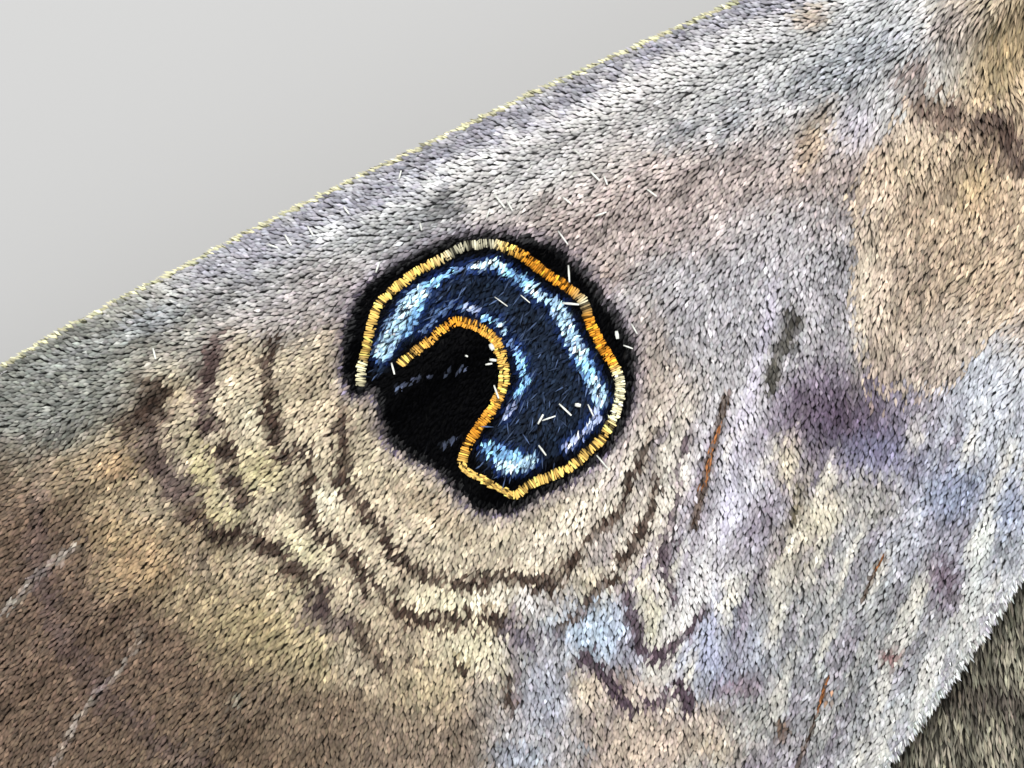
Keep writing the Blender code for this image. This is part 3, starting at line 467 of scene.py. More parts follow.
# Worn streaks where a vein shows: route, half width, and the share of it where bare horn glows brown
WORN_STREAKS = [
    ([(724, 396), (717, 425), (708, 458), (699, 492), (690, 528)], 3.2, 0.22, 0.72),
    ([(881, 556), (869, 580), (860, 602)], 1.4, 0.0, 0.3),
    ([(824, 680), (812, 718), (803, 742), (793, 766)], 1.4, 0.0, 0.35),
]
WORN_BROWN, WORN_DARK = (160, 104, 64), (66, 52, 42)
# Fine streaks towards the inner margin: their way, cells across and along it, and where they set in
STREAK_WAY, STREAK_CELLS = (-0.36, 0.93), (10.0, 75.0)
STREAKS_START, STREAKS_FULL = (560, 395), (640, 445)
STREAK_PALE, STREAK_DARK = (222, 215, 198), (136, 128, 138)
# The tan patch: its left edge, then its top, bottom and lower right corner
TAN_PALE, TAN_PULL = (202, 180, 154), 0.65
TAN_EDGE = [(892, 116), (866, 150), (856, 190), (850, 240), (846, 290), (845, 330), (856, 362), (866, 392)]
TAN_TOP, TAN_TOP_SLOPE, TAN_BOTTOM, TAN_CORNER, TAN_CORNER_SLOPE = (850, 128), 0.35, 392, 1232, 0.72
MARGIN_PULL, MARGIN_GLOW = 0.32, 0.8


def srgb_to_linear(colour):
    value = np.clip(np.asarray(colour, float) / 255.0, 0.0, 1.0)
    return np.where(value <= 0.04045, value / 12.92, ((value + 0.055) / 1.055) ** 2.4)


def soft_noise(x, y, seed):
    # Smooth noise from -1 to 1 on a lattice one unit wide
    lattice = np.random.default_rng(seed).uniform(-1.0, 1.0, (64, 64))
    i, j = np.floor(x).astype(int), np.floor(y).astype(int)
    u, v = x - i, y - j
    u, v = u * u * (3 - 2 * u), v * v * (3 - 2 * v)
    low = lattice[i % 64, j % 64] * (1 - u) + lattice[(i + 1) % 64, j % 64] * u
    high = lattice[i % 64, (j + 1) % 64] * (1 - u) + lattice[(i + 1) % 64, (j + 1) % 64] * u
    return low * (1 - v) + high * v


def one_tone(colour, count):
    return np.tile(np.asarray(colour, float), (count, 1))


def mix_in(colour, new, amount):
    amount = np.clip(amount, 0.0, 1.0)[:, None]
    return colour * (1 - amount) + np.asarray(new, float) * amount


def to_pixels(spots):
    # The way back from the wing's plan to the picture
    cos_roll, sin_roll = math.cos(PHOTO_ROLL), math.sin(PHOTO_ROLL)
    x = -spots[:, 0] * cos_roll + spots[:, 1] * sin_roll
    y = spots[:, 0] * sin_roll + spots[:, 1] * cos_roll
    return np.stack([x, y], axis=1) * PHOTO_SCALE + PHOTO_HINGE


def oval_reach(spots, centre, length, width, turn=0.0):
    # How far from an oval's middle each spot lies, as a share of the way to its edge
    turn = math.radians(turn)
    away = spots - centre
    u = (away[:, 0] * math.cos(turn) + away[:, 1] * math.sin(turn)) / length
    v = (away[:, 1] * math.cos(turn) - away[:, 0] * math.sin(turn)) / width
    return np.hypot(u, v)


def paint_areas(pixels):
    # Each area pulls the colour towards its own, the more the nearer it is
    total = np.full(len(pixels), GROUND_WEIGHT)
    colour = one_tone(LOW_BROWN, len(pixels)) * GROUND_WEIGHT
    for centre, length, width, turn, tone, pull in AREAS:
        weight = pull * np.exp(-AREA_FALLOFF * oval_reach(pixels, centre, length, width, turn) ** 2)
        total += weight
        colour += np.asarray(tone, float) * weight[:, None]
    return colour / total[:, None]


def paint_eyespot(colour, pixels):
    # Haze and black round the ring, navy within it, then the pale blue strokes with a deep blue rim
    edge, _ = path_gap(pixels, np.vstack([BLACK_LOOP, BLACK_LOOP[:1]]))
    colour = mix_in(colour, HAZE, 0.6 * bell(edge, 13.0))
    colour = mix_in(colour, INK, np.where(within(pixels, BLACK_LOOP), 1.0, 0.9 * bell(edge, 4.5)))
    ring_gap, _ = path_gap(pixels, smooth_path(RING, 6.0))
    depth = np.where(within(pixels, RING_LOOP), ring_gap, 0.0)
    colour = mix_in(colour, SLATE_NAVY, ramp(depth, 11.0, 18.0))
    near, blue, lit = np.full(len(pixels), np.inf), np.zeros((len(pixels), 3)), np.zeros(len(pixels))
    for route, half, tone in BLUE_STROKES:
        gap, _ = path_gap(pixels, np.asarray(route, float))
        near = np.minimum(near, np.maximum(gap - half, 0.0))
        fresh = np.clip(1.25 - gap / half, 0.0, 1.0)
        blue[fresh > lit] = tone
        lit = np.maximum(lit, fresh)
    colour = mix_in(colour, DEEP_BLUE, (depth > 4.0) * 0.7 * bell(near, 6.0))
    lit = np.clip(lit * 3.0, 0.0, 1.0)[:, None]
    return colour * (1 - lit) + blue * lit


def paint_forewing(spots, waver):
    # Colour of the forewing's upper side; waver is each spot's own random shift in pixels
    pixels = to_pixels(spots)
    x, y = pixels.T
    loose = pixels + waver
    drift = np.stack([soft_noise(x / DRIFT_CELL, y / DRIFT_CELL, seed) for seed in (5, 6)], axis=1)
    drift *= DRIFT_REACH
    colour = paint_areas(loose + drift)
    wobble = soft_noise(x / WOBBLE_CELL, y / WOBBLE_CELL, 9)
    across, along = pixels @ np.array([-STREAK_WAY[1], STREAK_WAY[0]]), pixels @ np.array(STREAK_WAY)
    streaks = soft_noise(across / STREAK_CELLS[0] + 0.6 * wobble, along / STREAK_CELLS[1], 15)
    streaky = ramp(x, STREAKS_START[0], STREAKS_FULL[0]) * ramp(y, STREAKS_START[1], STREAKS_FULL[1])
    colour = mix_in(colour, STREAK_PALE, 0.90 * streaky * np.maximum(streaks, 0.0))
    colour = mix_in(colour, STREAK_DARK, 0.95 * streaky * np.maximum(-streaks, 0.0))
    right, down = (loose + waver * 1.2 + drift * 0.5).T
    tan = right > np.interp(down, [p[1] for p in TAN_EDGE], [p[0] for p in TAN_EDGE])
    tan &= (down > TAN_TOP[1] - TAN_TOP_SLOPE * (right - TAN_TOP[0])) & (down < TAN_BOTTOM)
    tan &= right + TAN_CORNER_SLOPE * down < TAN_CORNER
    grained = soft_noise((x + 0.12 * y) / 5.0 + 0.5 * wobble, y / 34.0, 27)
    colour = mix_in(colour, TAN_PALE, tan * TAN_PULL) * (1.0 + 0.14 * tan * grained)[:, None]
    for centre, length, width, turn, tone, strength in PATCHES:
        away = oval_reach(loose + drift * 0.3, centre, length, width, turn)
        colour = mix_in(colour, tone, strength * bell(away, 1.0, 3))
    clump = 0.6 * soft_noise(loose[:, 0] / CLUMP_CELL, loose[:, 1] / CLUMP_CELL, 23)
    clump += 0.4 * soft_noise(loose[:, 0] / TUFT_CELL + 7.0, loose[:, 1] / TUFT_CELL, 24)
    tufty = CLUMP_ALL + CLUMP_CREAM * bell(oval_reach(pixels, CREAM_MIDDLE, *CREAM_REACH), 1.0, 4)
    colour = colour * (1.0 + tufty * clump)[:, None]
    right = ramp(x, 555, 615)
    for route, half, tone, strength in WAVY_LINES:
        gap, share = path_gap(loose + drift * 0.35, smooth_path(route, 9.0))
        fade = np.clip(np.minimum(share, 1 - share) * 14, 0.0, 1.0)
        width = half * LINE_SPREAD * (1.0 - 0.28 * right) * (1.0 + 0.45 * wobble)
        pull = strength * (1.1 - 0.1 * right + 0.35 * wobble - 0.45 * clump) * fade
        colour = mix_in(colour, tone, pull * bell(gap, width, 3))
    colour = paint_eyespot(colour * PAINT_GAIN, pixels + waver * 0.45)
    margin, _ = path_gap(spots, forewing["rim"][~forewing["front"]])
    before_end = ramp(spots[:, 0], MARGIN_END, MARGIN_END - 6.0)
    colour = mix_in(colour, PALE, MARGIN_PULL * bell(margin, MARGIN_GLOW) * before_end)
    for route, half, _, _ in WORN_STREAKS:
        gap, _ = path_gap(pixels, smooth_path(route, 12.0))
        colour = mix_in(colour, WORN_DARK, 0.7 * bell(gap, 1.3 * half, 4))
    return colour


# Hindwing markings.
# Brown grey with wavy lines that carry on from the forewing, and two dark lobed patches with pale edges
# near the inner corner. Places are in millimetres: out from the body's middle, then behind the hinge.
HIND_GROUND, HIND_BASE, HIND_OUTER = (115, 110, 96), (108, 106, 93), (106, 94, 82)
HIND_PALE, HIND_DARK = (190, 180, 160), (52, 42, 40)
HIND_LINES = [
    ([(28.6, 16.5), (24.6, 19.4), (21.0, 23.2), (17.6, 25.6), (14.0, 26.8), (10.6, 26.4), (7.2, 27.6)],
     0.45, HIND_DARK, 0.60),
    ([(30.0, 18.0), (26.4, 21.4), (22.6, 25.4), (18.8, 28.0), (14.8, 29.0), (11.0, 28.6), (7.4, 29.4)],
     0.30, HIND_PALE, 0.55),
    ([(30.8, 19.6), (27.6, 23.4), (23.8, 27.6), (19.6, 30.2), (15.2, 31.2), (11.2, 31.0), (7.6, 31.2)],
     0.35, HIND_DARK, 0.60),
    ([(24.0, 13.4), (20.2, 16.4), (17.2, 19.6), (13.6, 21.8), (9.8, 22.2), (6.6, 23.2)],
     0.35, HIND_DARK, 0.45),
]
HIND_LOBES, LOBE_DARK = [((11.6, 32.2), 1.7, 1.2), ((15.4, 32.6), 1.5, 1.1)], (34, 30, 36)
# Where the ground and the outer brown set in and are full, as distances from the wing's root
HIND_ROOT, HIND_GROUND_REACH, HIND_OUTER_REACH = 4.0, (12.0, 20.0), (26.0, 32.0)


def paint_hindwing(spots, waver):
    loose = spots + waver / PHOTO_SCALE
    drift = soft_noise(spots[:, 0] / 1.3, spots[:, 1] / 1.3, 12)
    streak = soft_noise(spots[:, 0] / 0.22, spots[:, 1] / 2.2, 13)
    reach = np.hypot(loose[:, 0] - HIND_ROOT, loose[:, 1] - HIND_ROOT)
    colour = mix_in(one_tone(HIND_BASE, len(spots)), HIND_GROUND, ramp(reach, *HIND_GROUND_REACH))
    colour = mix_in(colour, HIND_OUTER, ramp(reach, *HIND_OUTER_REACH))
    for route, half, tone, strength in HIND_LINES:
        gap, _ = path_gap(loose + drift[:, None] * 0.3, smooth_path(route, 0.6))
        colour = mix_in(colour, tone, strength * bell(gap, half, 4))
    for centre, length, width in HIND_LOBES:
        away = oval_reach(loose, centre, length, width)
        colour = mix_in(colour, HIND_PALE, 0.8 * bell(away - 1.12, 0.16))
        colour = mix_in(colour, LOBE_DARK, ramp(away, 1.04, 0.92))
    block = soft_noise(spots[:, 0] / 0.5 + 9.0, spots[:, 1] / 0.7, 14)
    return colour * (1.0 + 0.12 * drift + 0.26 * streak + 0.20 * block)[:, None]


UNDER_GROUND, UNDER_DARK, UNDER_PALE = (146, 130, 108), (88, 72, 58), (180, 165, 140)
# The underside's mark, band, line and paler rim, as distances from the hinge
UNDER_MARK, UNDER_BAND, UNDER_LINE, UNDER_RIM = 19.5, 27.5, 33.5, (38.0, 42.0)


def paint_underside(spots, waver):
    # Plainer below: brown with one dark mark, a dusky band and a paler rim
    loose = spots + waver / PHOTO_SCALE
    reach = np.hypot(loose[:, 0], loose[:, 1])
    bands = soft_noise(loose[:, 0] / 2.5, loose[:, 1] / 2.5, 21)
    colour = one_tone(UNDER_GROUND, len(spots))
    colour = mix_in(colour, UNDER_DARK, 0.6 * bell(reach - UNDER_BAND - bands, 0.8))
    colour = mix_in(colour, UNDER_DARK, 0.4 * bell(reach - UNDER_LINE - bands, 1.2))
    mark = bell(reach - UNDER_MARK, 0.9) * bell(loose[:, 1] - 0.3 * loose[:, 0], 1.6)
    colour = mix_in(colour, UNDER_DARK, 0.8 * mark)
    colour = mix_in(colour, UNDER_PALE, 0.5 * ramp(reach, *UNDER_RIM))
    return colour * (1.0 + 0.08 * bands)[:, None]


def tint_attribute(mesh, colours):
    data = np.ones((len(colours), 4), np.float32)
    data[:, :3] = srgb_to_linear(colours)
    layer = mesh.attributes.new("tint", "FLOAT_COLOR", "POINT")
    layer.data.foreach_set("color", data.ravel())


# How much less painted shade the pale scales get, as they let light through
PALE_CLEARNESS = 0.6
GRAIN_SPAN = (0.3, 0.7)


def new_material(name):
    material = bpy.data.materials.new(name)
    material.use_nodes = True
    return material, material.node_tree, material.node_tree.nodes["Principled BSDF"]


def shader_node(tree, kind, values=(), **settings):
    # A node of a material, with values on its inputs and its own settings
    node = tree.nodes.new("ShaderNode" + kind)
    for word, setting in settings.items():
        setattr(node, word, setting)
    for socket, value in dict(values).items():
        node.inputs[socket].default_value = value
    return node


def tinted_material(name, roughness, shine=0.12, grain=2500.0, grain_depth=0.18, bump=0.0, shaded=False):
    # Colour from the tint attribute, a fine grain in brightness, and a little relief; shaded ones also carry
    # painted shade, darker at each scale's root and edges, less so where they are pale and let light through
    material, tree, shader = new_material(name)
    link = tree.links.new
    shader.inputs["Roughness"].default_value = roughness
    shader.inputs["Specular IOR Level"].default_value = shine
    tint = shader_node(tree, "Attribute", attribute_name="tint")
    place = shader_node(tree, "TexCoord")
    noise = shader_node(tree, "TexNoise", {"Scale": grain, "Detail": 2.0})
    spread = shader_node(tree, "MapRange", {"From Min": GRAIN_SPAN[0], "From Max": GRAIN_SPAN[1],
                                            "To Min": 1.0 - grain_depth, "To Max": 1.0 + grain_depth})
    blend = shader_node(tree, "VectorMath", operation="SCALE")
    link(place.outputs["Object"], noise.inputs["Vector"])
    link(noise.outputs["Fac"], spread.inputs["Value"])
    link(tint.outputs["Color"], blend.inputs[0])
    link(blend.outputs["Vector"], shader.inputs["Base Color"])
    if shaded:
        shade = shader_node(tree, "Attribute", attribute_name="shade")
        contrast = shader_node(tree, "Math", {1: -PALE_CLEARNESS, 2: 1.0}, operation="MULTIPLY_ADD")
        depth = shader_node(tree, "Math", operation="POWER")
        dim = shader_node(tree, "Math", operation="MULTIPLY")
        link(tint.outputs["Fac"], contrast.inputs[0])
        link(shade.outputs["Fac"], depth.inputs[0])
        link(contrast.outputs["Value"], depth.inputs[1])
        link(spread.outputs["Result"], dim.inputs[0])
        link(depth.outputs["Value"], dim.inputs[1])
        link(dim.outputs["Value"], blend.inputs["Scale"])
    else:
        link(spread.outputs["Result"], blend.inputs["Scale"])
    if bump:
        relief = shader_node(tree, "Bump", {"Distance": bump})
        link(noise.outputs["Fac"], relief.inputs["Height"])
        link(relief.outputs["Normal"], shader.inputs["Normal"])
    return material


# Painted shade: the skin is darker than its scales, as it is seen only in the shaded gaps between them
SKIN_PAINTED_SHADE, SKIN_SINK = 0.5, 0.07


def turn_faces_out(mesh):
    work = bmesh.new()
    work.from_mesh(mesh)
    bmesh.ops.recalc_face_normals(work, faces=work.faces)
    work.to_mesh(mesh)
    work.free()
    mesh.shade_smooth()


def wing_skin(name, wing, side, paint, material):
    # One sheet whose two faces share their triangles
    rim = wing["rim"]
    low, high = rim.min(axis=0), rim.max(axis=0)
    rows = np.arange(low[1], high[1], SKIN_STEP * ROW_SHARE)
    fill = []
    for k, y in enumerate(rows):
        across = np.arange(low[0] + (k % 2) * SKIN_STEP / 2, high[0], SKIN_STEP)
        fill.append(np.stack([across, np.full_like(across, y)], axis=1))
    fill = np.vstack(fill)
    fill = fill[within(fill, rim)]
    gap, _ = path_gap(fill, np.vstack([rim, rim[:1]]))
    spots = np.vstack([rim, fill[gap > RIM_CLEARANCE * SKIN_STEP]])
    edges = [(i, (i + 1) % len(rim)) for i in range(len(rim))]
    flat, _, triangles, *_ = delaunay_2d_cdt([Vector(p) for p in spots], edges, [list(range(len(rim)))],
                                             1, 1e-6)
    flat = np.array([tuple(p) for p in flat])
    upper = wing_surface(wing, side, flat, 1)
    lower = wing_surface(wing, side, flat, -1)
    upper[:, 2] -= SKIN_SINK * MM
    count = len(flat)
    faces = [tuple(t) for t in triangles]
    open_edges = {}
    for a, b, c in faces:
        for edge in ((a, b), (b, c), (c, a)):
            open_edges[tuple(sorted(edge))] = None if tuple(sorted(edge)) in open_edges else edge
    walls = [(b, a, a + count, b + count) for a, b in filter(None, open_edges.values())]
    faces += walls + [(c + count, b + count, a + count) for a, b, c in triangles]
    mesh = bpy.data.meshes.new(name)
    mesh.from_pydata(np.vstack([upper, lower]).tolist(), [], faces)
    turn_faces_out(mesh)
    still = np.zeros((count, 2))
    # The skin's paint is dimmed as painted shade for the gaps between the scales
    tint_attribute(mesh, np.vstack([paint(flat, still), paint_underside(flat, still)]) * SKIN_PAINTED_SHADE)
    mesh.materials.append(material)
    return placed(name, mesh)


membrane_finish = tinted_material("wing_membrane", 0.55, grain=1500.0)
for word, side in SIDES.items():
    for kind, wing, paint in (("forewing", forewing, paint_forewing), ("hindwing", hindwing, paint_hindwing)):
        skin = wing_skin(f"{kind}_membrane_{word}", wing, side, paint, membrane_finish)
        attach(skin, "root")
        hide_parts(f"{kind}_{word}")

# Wing scales.
# Every wing face is tiled with narrow ridged scales of horny skin, rooted in rows and lapping outwards from
# the body. One node tree lays a modelled scale on each root; sizes, lie and tint are worked out per root.
SCALE_PITCH, SCALE_ROWS = 0.087, 0.102
SCALE_LENGTH, SCALE_WIDTH = 0.25, 0.102
SEEN_SHARE = 0.72
HIND_PITCH, HIND_ROWS, HIND_LENGTH, HIND_WIDTH, HIND_SWELL = 0.15, 0.19, 0.62, 0.105, 0.12
UNDER_PITCH, UNDER_ROWS, UNDER_LENGTH, UNDER_WIDTH, UNDER_SWELL = 0.30, 0.31, 0.60, 0.34, 0.12
# How far scales stand up and swing sideways, in radians
LIFT, LIFT_SPREAD, SWING = 0.23, 0.11, 0.14
UV_PATCH, UV_EDGE, UV_SPAN = 0.003, 0.02, 0.96


def scale_shape(name, points, shades, faces):
    # One scale a unit long and wide; y runs from root to tip and z out of the wing
    mesh = bpy.data.meshes.new(name)
    mesh.from_pydata(points, [], faces)
    mesh.shade_smooth()
    # Painted shade and light over the scale: darkest at its root and sides, brightest on its ridge
    shade = mesh.attributes.new("shade", "FLOAT", "POINT")
    shade.data.foreach_set("value", shades)
    patch = mesh.uv_layers.new(name="patch")
    for loop in mesh.loops:
        x, y, _ = points[loop.vertex_index]
        patch.data[loop.index].uv = (x * UV_PATCH, (y - 0.5) * UV_PATCH)
    return placed(name, mesh)


ROOT_FACTS = ("lie", "up", "size", "root_uv", "patch")


def laying_tree():
    # Puts a copy of the Scale object on every root, turned by the roots' lie and up, and makes it real
    tree = bpy.data.node_groups.new("lay_scales", "GeometryNodeTree")
    for name, kind in (("Roots", "Geometry"), ("Scale", "Object"), ("Finish", "Material")):
        tree.interface.new_socket(name, in_out="INPUT", socket_type="NodeSocket" + kind)
    tree.interface.new_socket("Coat", in_out="OUTPUT", socket_type="NodeSocketGeometry")
    nodes, link = tree.nodes, tree.links.new
    given, result = nodes.new("NodeGroupInput"), nodes.new("NodeGroupOutput")
    shape = nodes.new("GeometryNodeObjectInfo")
    shape.inputs["As Instance"].default_value = True
    lay = nodes.new("GeometryNodeInstanceOnPoints")
    turn = nodes.new("FunctionNodeAxesToRotation")
    turn.primary_axis = "Y"
    turn.secondary_axis = "Z"
    read = {}
    for word in ROOT_FACTS:
        read[word] = nodes.new("GeometryNodeInputNamedAttribute")
        read[word].data_type = "FLOAT_VECTOR"
        read[word].inputs["Name"].default_value = word
    real = nodes.new("GeometryNodeRealizeInstances")
    add = nodes.new("ShaderNodeVectorMath")
    store = nodes.new("GeometryNodeStoreNamedAttribute")
    store.data_type = "FLOAT2"
    store.domain = "CORNER"
    store.inputs["Name"].default_value = "OFBake"
    finish = nodes.new("GeometryNodeSetMaterial")
    link(given.outputs["Roots"], lay.inputs["Points"])
    link(given.outputs["Scale"], shape.inputs["Object"])
    link(shape.outputs["Geometry"], lay.inputs["Instance"])
    link(read["lie"].outputs["Attribute"], turn.inputs["Primary Axis"])
    link(read["up"].outputs["Attribute"], turn.inputs["Secondary Axis"])
    link(turn.outputs["Rotation"], lay.inputs["Rotation"])
    link(read["size"].outputs["Attribute"], lay.inputs["Scale"])
    link(lay.outputs["Instances"], real.inputs["Geometry"])
    link(read["root_uv"].outputs["Attribute"], add.inputs[0])
    link(read["patch"].outputs["Attribute"], add.inputs[1])
    link(real.outputs["Geometry"], store.inputs["Geometry"])
    link(add.outputs["Vector"], store.inputs["Value"])
    link(store.outputs["Geometry"], finish.inputs["Geometry"])
    link(given.outputs["Finish"], finish.inputs["Material"])
    link(finish.outputs["Geometry"], result.inputs["Coat"])
    return tree


def socket_of(tree, name):
    return next(s.identifier for s in tree.interface.items_tree if s.name == name and s.in_out == "INPUT")


def lay_coat(name, shape, finish, roots, lie, up, size, tint, root_uv):
    # Roots with their attributes become one plain mesh of scales
    mesh = bpy.data.meshes.new(name)
    mesh.vertices.add(len(roots))
    mesh.vertices.foreach_set("co", np.ascontiguousarray(roots, np.float32).ravel())
    flat_uv = np.column_stack([root_uv, np.zeros(len(roots))])
    for word, values in (("lie", lie), ("up", up), ("size", size), ("root_uv", flat_uv)):
        layer = mesh.attributes.new(word, "FLOAT_VECTOR", "POINT")
        layer.data.foreach_set("vector", np.ascontiguousarray(values, np.float32).ravel())
    tint_attribute(mesh, tint)
    holder = placed(name + "_roots", mesh)
    laying = holder.modifiers.new("lay", "NODES")
    laying.node_group = LAYING
    laying[socket_of(LAYING, "Scale")] = shape
    laying[socket_of(LAYING, "Finish")] = finish
    holder.update_tag()
    graph = bpy.context.evaluated_depsgraph_get()
    graph.update()
    made = bpy.data.meshes.new_from_object(holder.evaluated_get(graph))
    made.name = name
    bpy.data.objects.remove(holder)
    for word in ROOT_FACTS:
        if word in made.attributes:
            made.attributes.remove(made.attributes[word])
    return placed(name, made)


def unit(vectors):
    return vectors / np.maximum(np.linalg.norm(vectors, axis=1), 1e-12)[:, None]


def pointing(angle):
    return np.stack([np.cos(angle), np.sin(angle)], axis=1)


def sized(width, length, swell):
    # How each scale is stretched, in the scene's metres
    return np.stack(np.broadcast_arrays(width, length, swell), axis=1) * MM


def wing_lie(wing, side, spots, angle, face):
    # Root places, the way that scales lie there and the face's outward way
    step = 0.02
    here = wing_surface(wing, side, spots, face)
    ahead = wing_surface(wing, side, spots + step * pointing(angle), face)
    beside = wing_surface(wing, side, spots + step * np.stack([-np.sin(angle), np.cos(angle)], axis=1), face)
    lie, cross = unit(ahead - here), unit(beside - here)
    up = unit(np.cross(lie, cross))
    up *= np.sign(up[:, 2:3]) * face
    return here, lie, up


def tilted(lie, up, lift, swing, roll):
    # Raise the tip by lift, swing it sideways and roll the scale about its length, in radians
    across = np.cross(lie, up)
    lie = lie * np.cos(swing)[:, None] + across * np.sin(swing)[:, None]
    lie = unit(lie * np.cos(lift)[:, None] + up * np.sin(lift)[:, None])
    across = unit(np.cross(lie, up))
    up = np.cross(across, lie)
    up = unit(up * np.cos(roll)[:, None] + across * np.sin(roll)[:, None])
    return lie, up


def lattice_spots(rim, pitch, rows, rng, stray=0.2):
    # Roots in staggered rows inside the rim, each a little off its place
    low, high = rim.min(axis=0), rim.max(axis=0)
    across, along = (high[1] - low[1]) / pitch, (high[0] - low[0]) / rows
    i, j = np.meshgrid(np.arange(int(along) + 1), np.arange(int(across) + 1))
    spots = np.stack([low[0] + i * rows, low[1] + (j + 0.5 * (i % 2)) * pitch], axis=-1).reshape(-1, 2)
    spots += rng.uniform(-stray, stray, spots.shape) * (rows, pitch)
    return spots[within(spots, rim)]


def forewing_angle(spots):
    # Scales point at the costa in front, and turn towards the inner margin the further back they lie
    out, back = spots[:, 0], spots[:, 1]
    angle = np.interp(back / np.maximum(out, 2.0), LIE_SHARES, LIE_TURNS)
    middle = ramp(out, 5.0, 13.0) * ramp(out, 41.0, 35.0)
    angle -= COSTA_TURN * middle * bell(back, COSTA_REACH)
    angle -= TAN_TURN * bell(oval_reach(spots, TAN_MIDDLE, TAN_REACH, TAN_REACH), 1.0)
    angle += 9.0 * soft_noise(out / 0.7 + 30.0, back / 0.7 + 30.0, 44)
    return np.radians(angle)


def hindwing_angle(spots):
    # Scales spread from the hinge, and turn a little further back where the photo shows them
    turn = HIND_SEEN_TURN * bell(np.linalg.norm(spots - HIND_SEEN, axis=1), 2.0 * HIND_SEEN_REACH)
    return np.arctan2(spots[:, 1] - HIND_FAN[1], spots[:, 0] - HIND_FAN[0]) + turn


def speckled(colour, spots, rng, depth):
    # Each scale has its own shade, and shades run in short streaks
    streak = soft_noise(spots[:, 0] / 0.26, spots[:, 1] / 0.26, 31)
    shade = np.exp(depth * (0.75 * rng.standard_normal(len(spots)) + 0.8 * streak))
    warm = 1.0 + 0.05 * rng.standard_normal((len(spots), 3)) * depth
    return colour * shade[:, None] * warm


def wing_uv(spots, rim, share, of):
    # The face's own plan, spread over the map; a coat in several pieces gives each one the whole map
    low, high = rim.min(axis=0), rim.max(axis=0)
    return UV_EDGE + UV_SPAN * ((spots - low) / (high - low) * [of, 1] - [share, 0])


LAYING = laying_tree()
cover_scale = scale_shape(
    "cover_scale",
    [(0.0, 0.0, 0.0), (-0.5, 0.60, 0.0), (0.0, 0.64, 0.28), (0.5, 0.60, 0.0), (0.0, 1.04, -0.02)],
    [0.42, 0.68, 1.05, 0.68, 0.93], [(0, 2, 1), (0, 3, 2), (1, 2, 4), (2, 3, 4)])
hair_scale = scale_shape(
    "hair_scale",
    [(-0.3, 0.0, 0.0), (0.3, 0.0, 0.0), (-0.5, 0.55, 0.0), (0.0, 0.5, 0.25), (0.5, 0.55, 0.0),
     (0.0, 1.0, 0.0)],
    [0.4, 0.4, 0.75, 1.05, 0.75, 1.0],
    [(0, 1, 3), (0, 3, 2), (1, 4, 3), (2, 3, 5), (3, 4, 5)])
forewing_finish = tinted_material("forewing_scales", 0.52, grain=9000.0, grain_depth=0.12, shaded=True)
hindwing_finish = tinted_material("hindwing_scales", 0.60, grain=9000.0, grain_depth=0.12, shaded=True)
FOREWING_PIECES = 2
SPECKLE, BARE_INSET, UNDER_INSET = 0.15, 4.0, 0.25
FEATHER_ALONG, FEATHER_ACROSS = 4.5, 1.3
# Degrees that the forewing's scales turn back, by the share of distance behind to distance out
LIE_SHARES = [0.0, 0.1, 0.25, 0.31, 0.40, 0.50, 0.63, 0.75, 1.0]
LIE_TURNS = [6.0, 22.0, 31.0, 36.0, 55.0, 62.0, 62.0, 55.0, 42.0]
COSTA_TURN, COSTA_REACH = 42.0, 1.9
TAN_TURN, TAN_MIDDLE, TAN_REACH = 20.0, (11.6, 8.0), 3.0
# Pale scales are more alike in shade and lie: how much, and from which lightness on
CALM, CALM_FROM, CALM_FULL = 0.45, 145.0, 185.0
# The hindwing's part in the photo, in its plan: middle, reach, scales' turn and their smaller size
HIND_SEEN = np.array([13.2, 22.2])
HIND_SEEN_REACH, HIND_SEEN_TURN, FINER = 3.6, 0.42, 0.66
HIND_FAN = (1.5, 1.0)


def hind_seen(spots, rng):
    # Over 1 in the part of the hindwing that the photo shows, with a frayed edge
    return HIND_SEEN_REACH / (np.linalg.norm(spots - HIND_SEEN, axis=1) + rng.uniform(0.0, 0.8, len(spots)))


def forewing_sizes(spots, pixels, rng):
    # Width and length of each scale: a little longer on the tan patch, hair-like near the body
    count = len(spots)
    width = SCALE_WIDTH * rng.uniform(0.8, 1.2, count)
    length = SCALE_LENGTH * rng.uniform(0.8, 1.25, count)
    tan = ramp(pixels[:, 0], 835, 865) * ramp(pixels[:, 1], 420, 380)
    hairy = ramp(spots[:, 0], 9.0, 6.0)
    width *= (1.0 - 0.08 * tan) * (1.0 - 0.20 * hairy)
    length *= (1.0 + 0.30 * tan) * (1.0 + 1.10 * hairy)
    return width, length


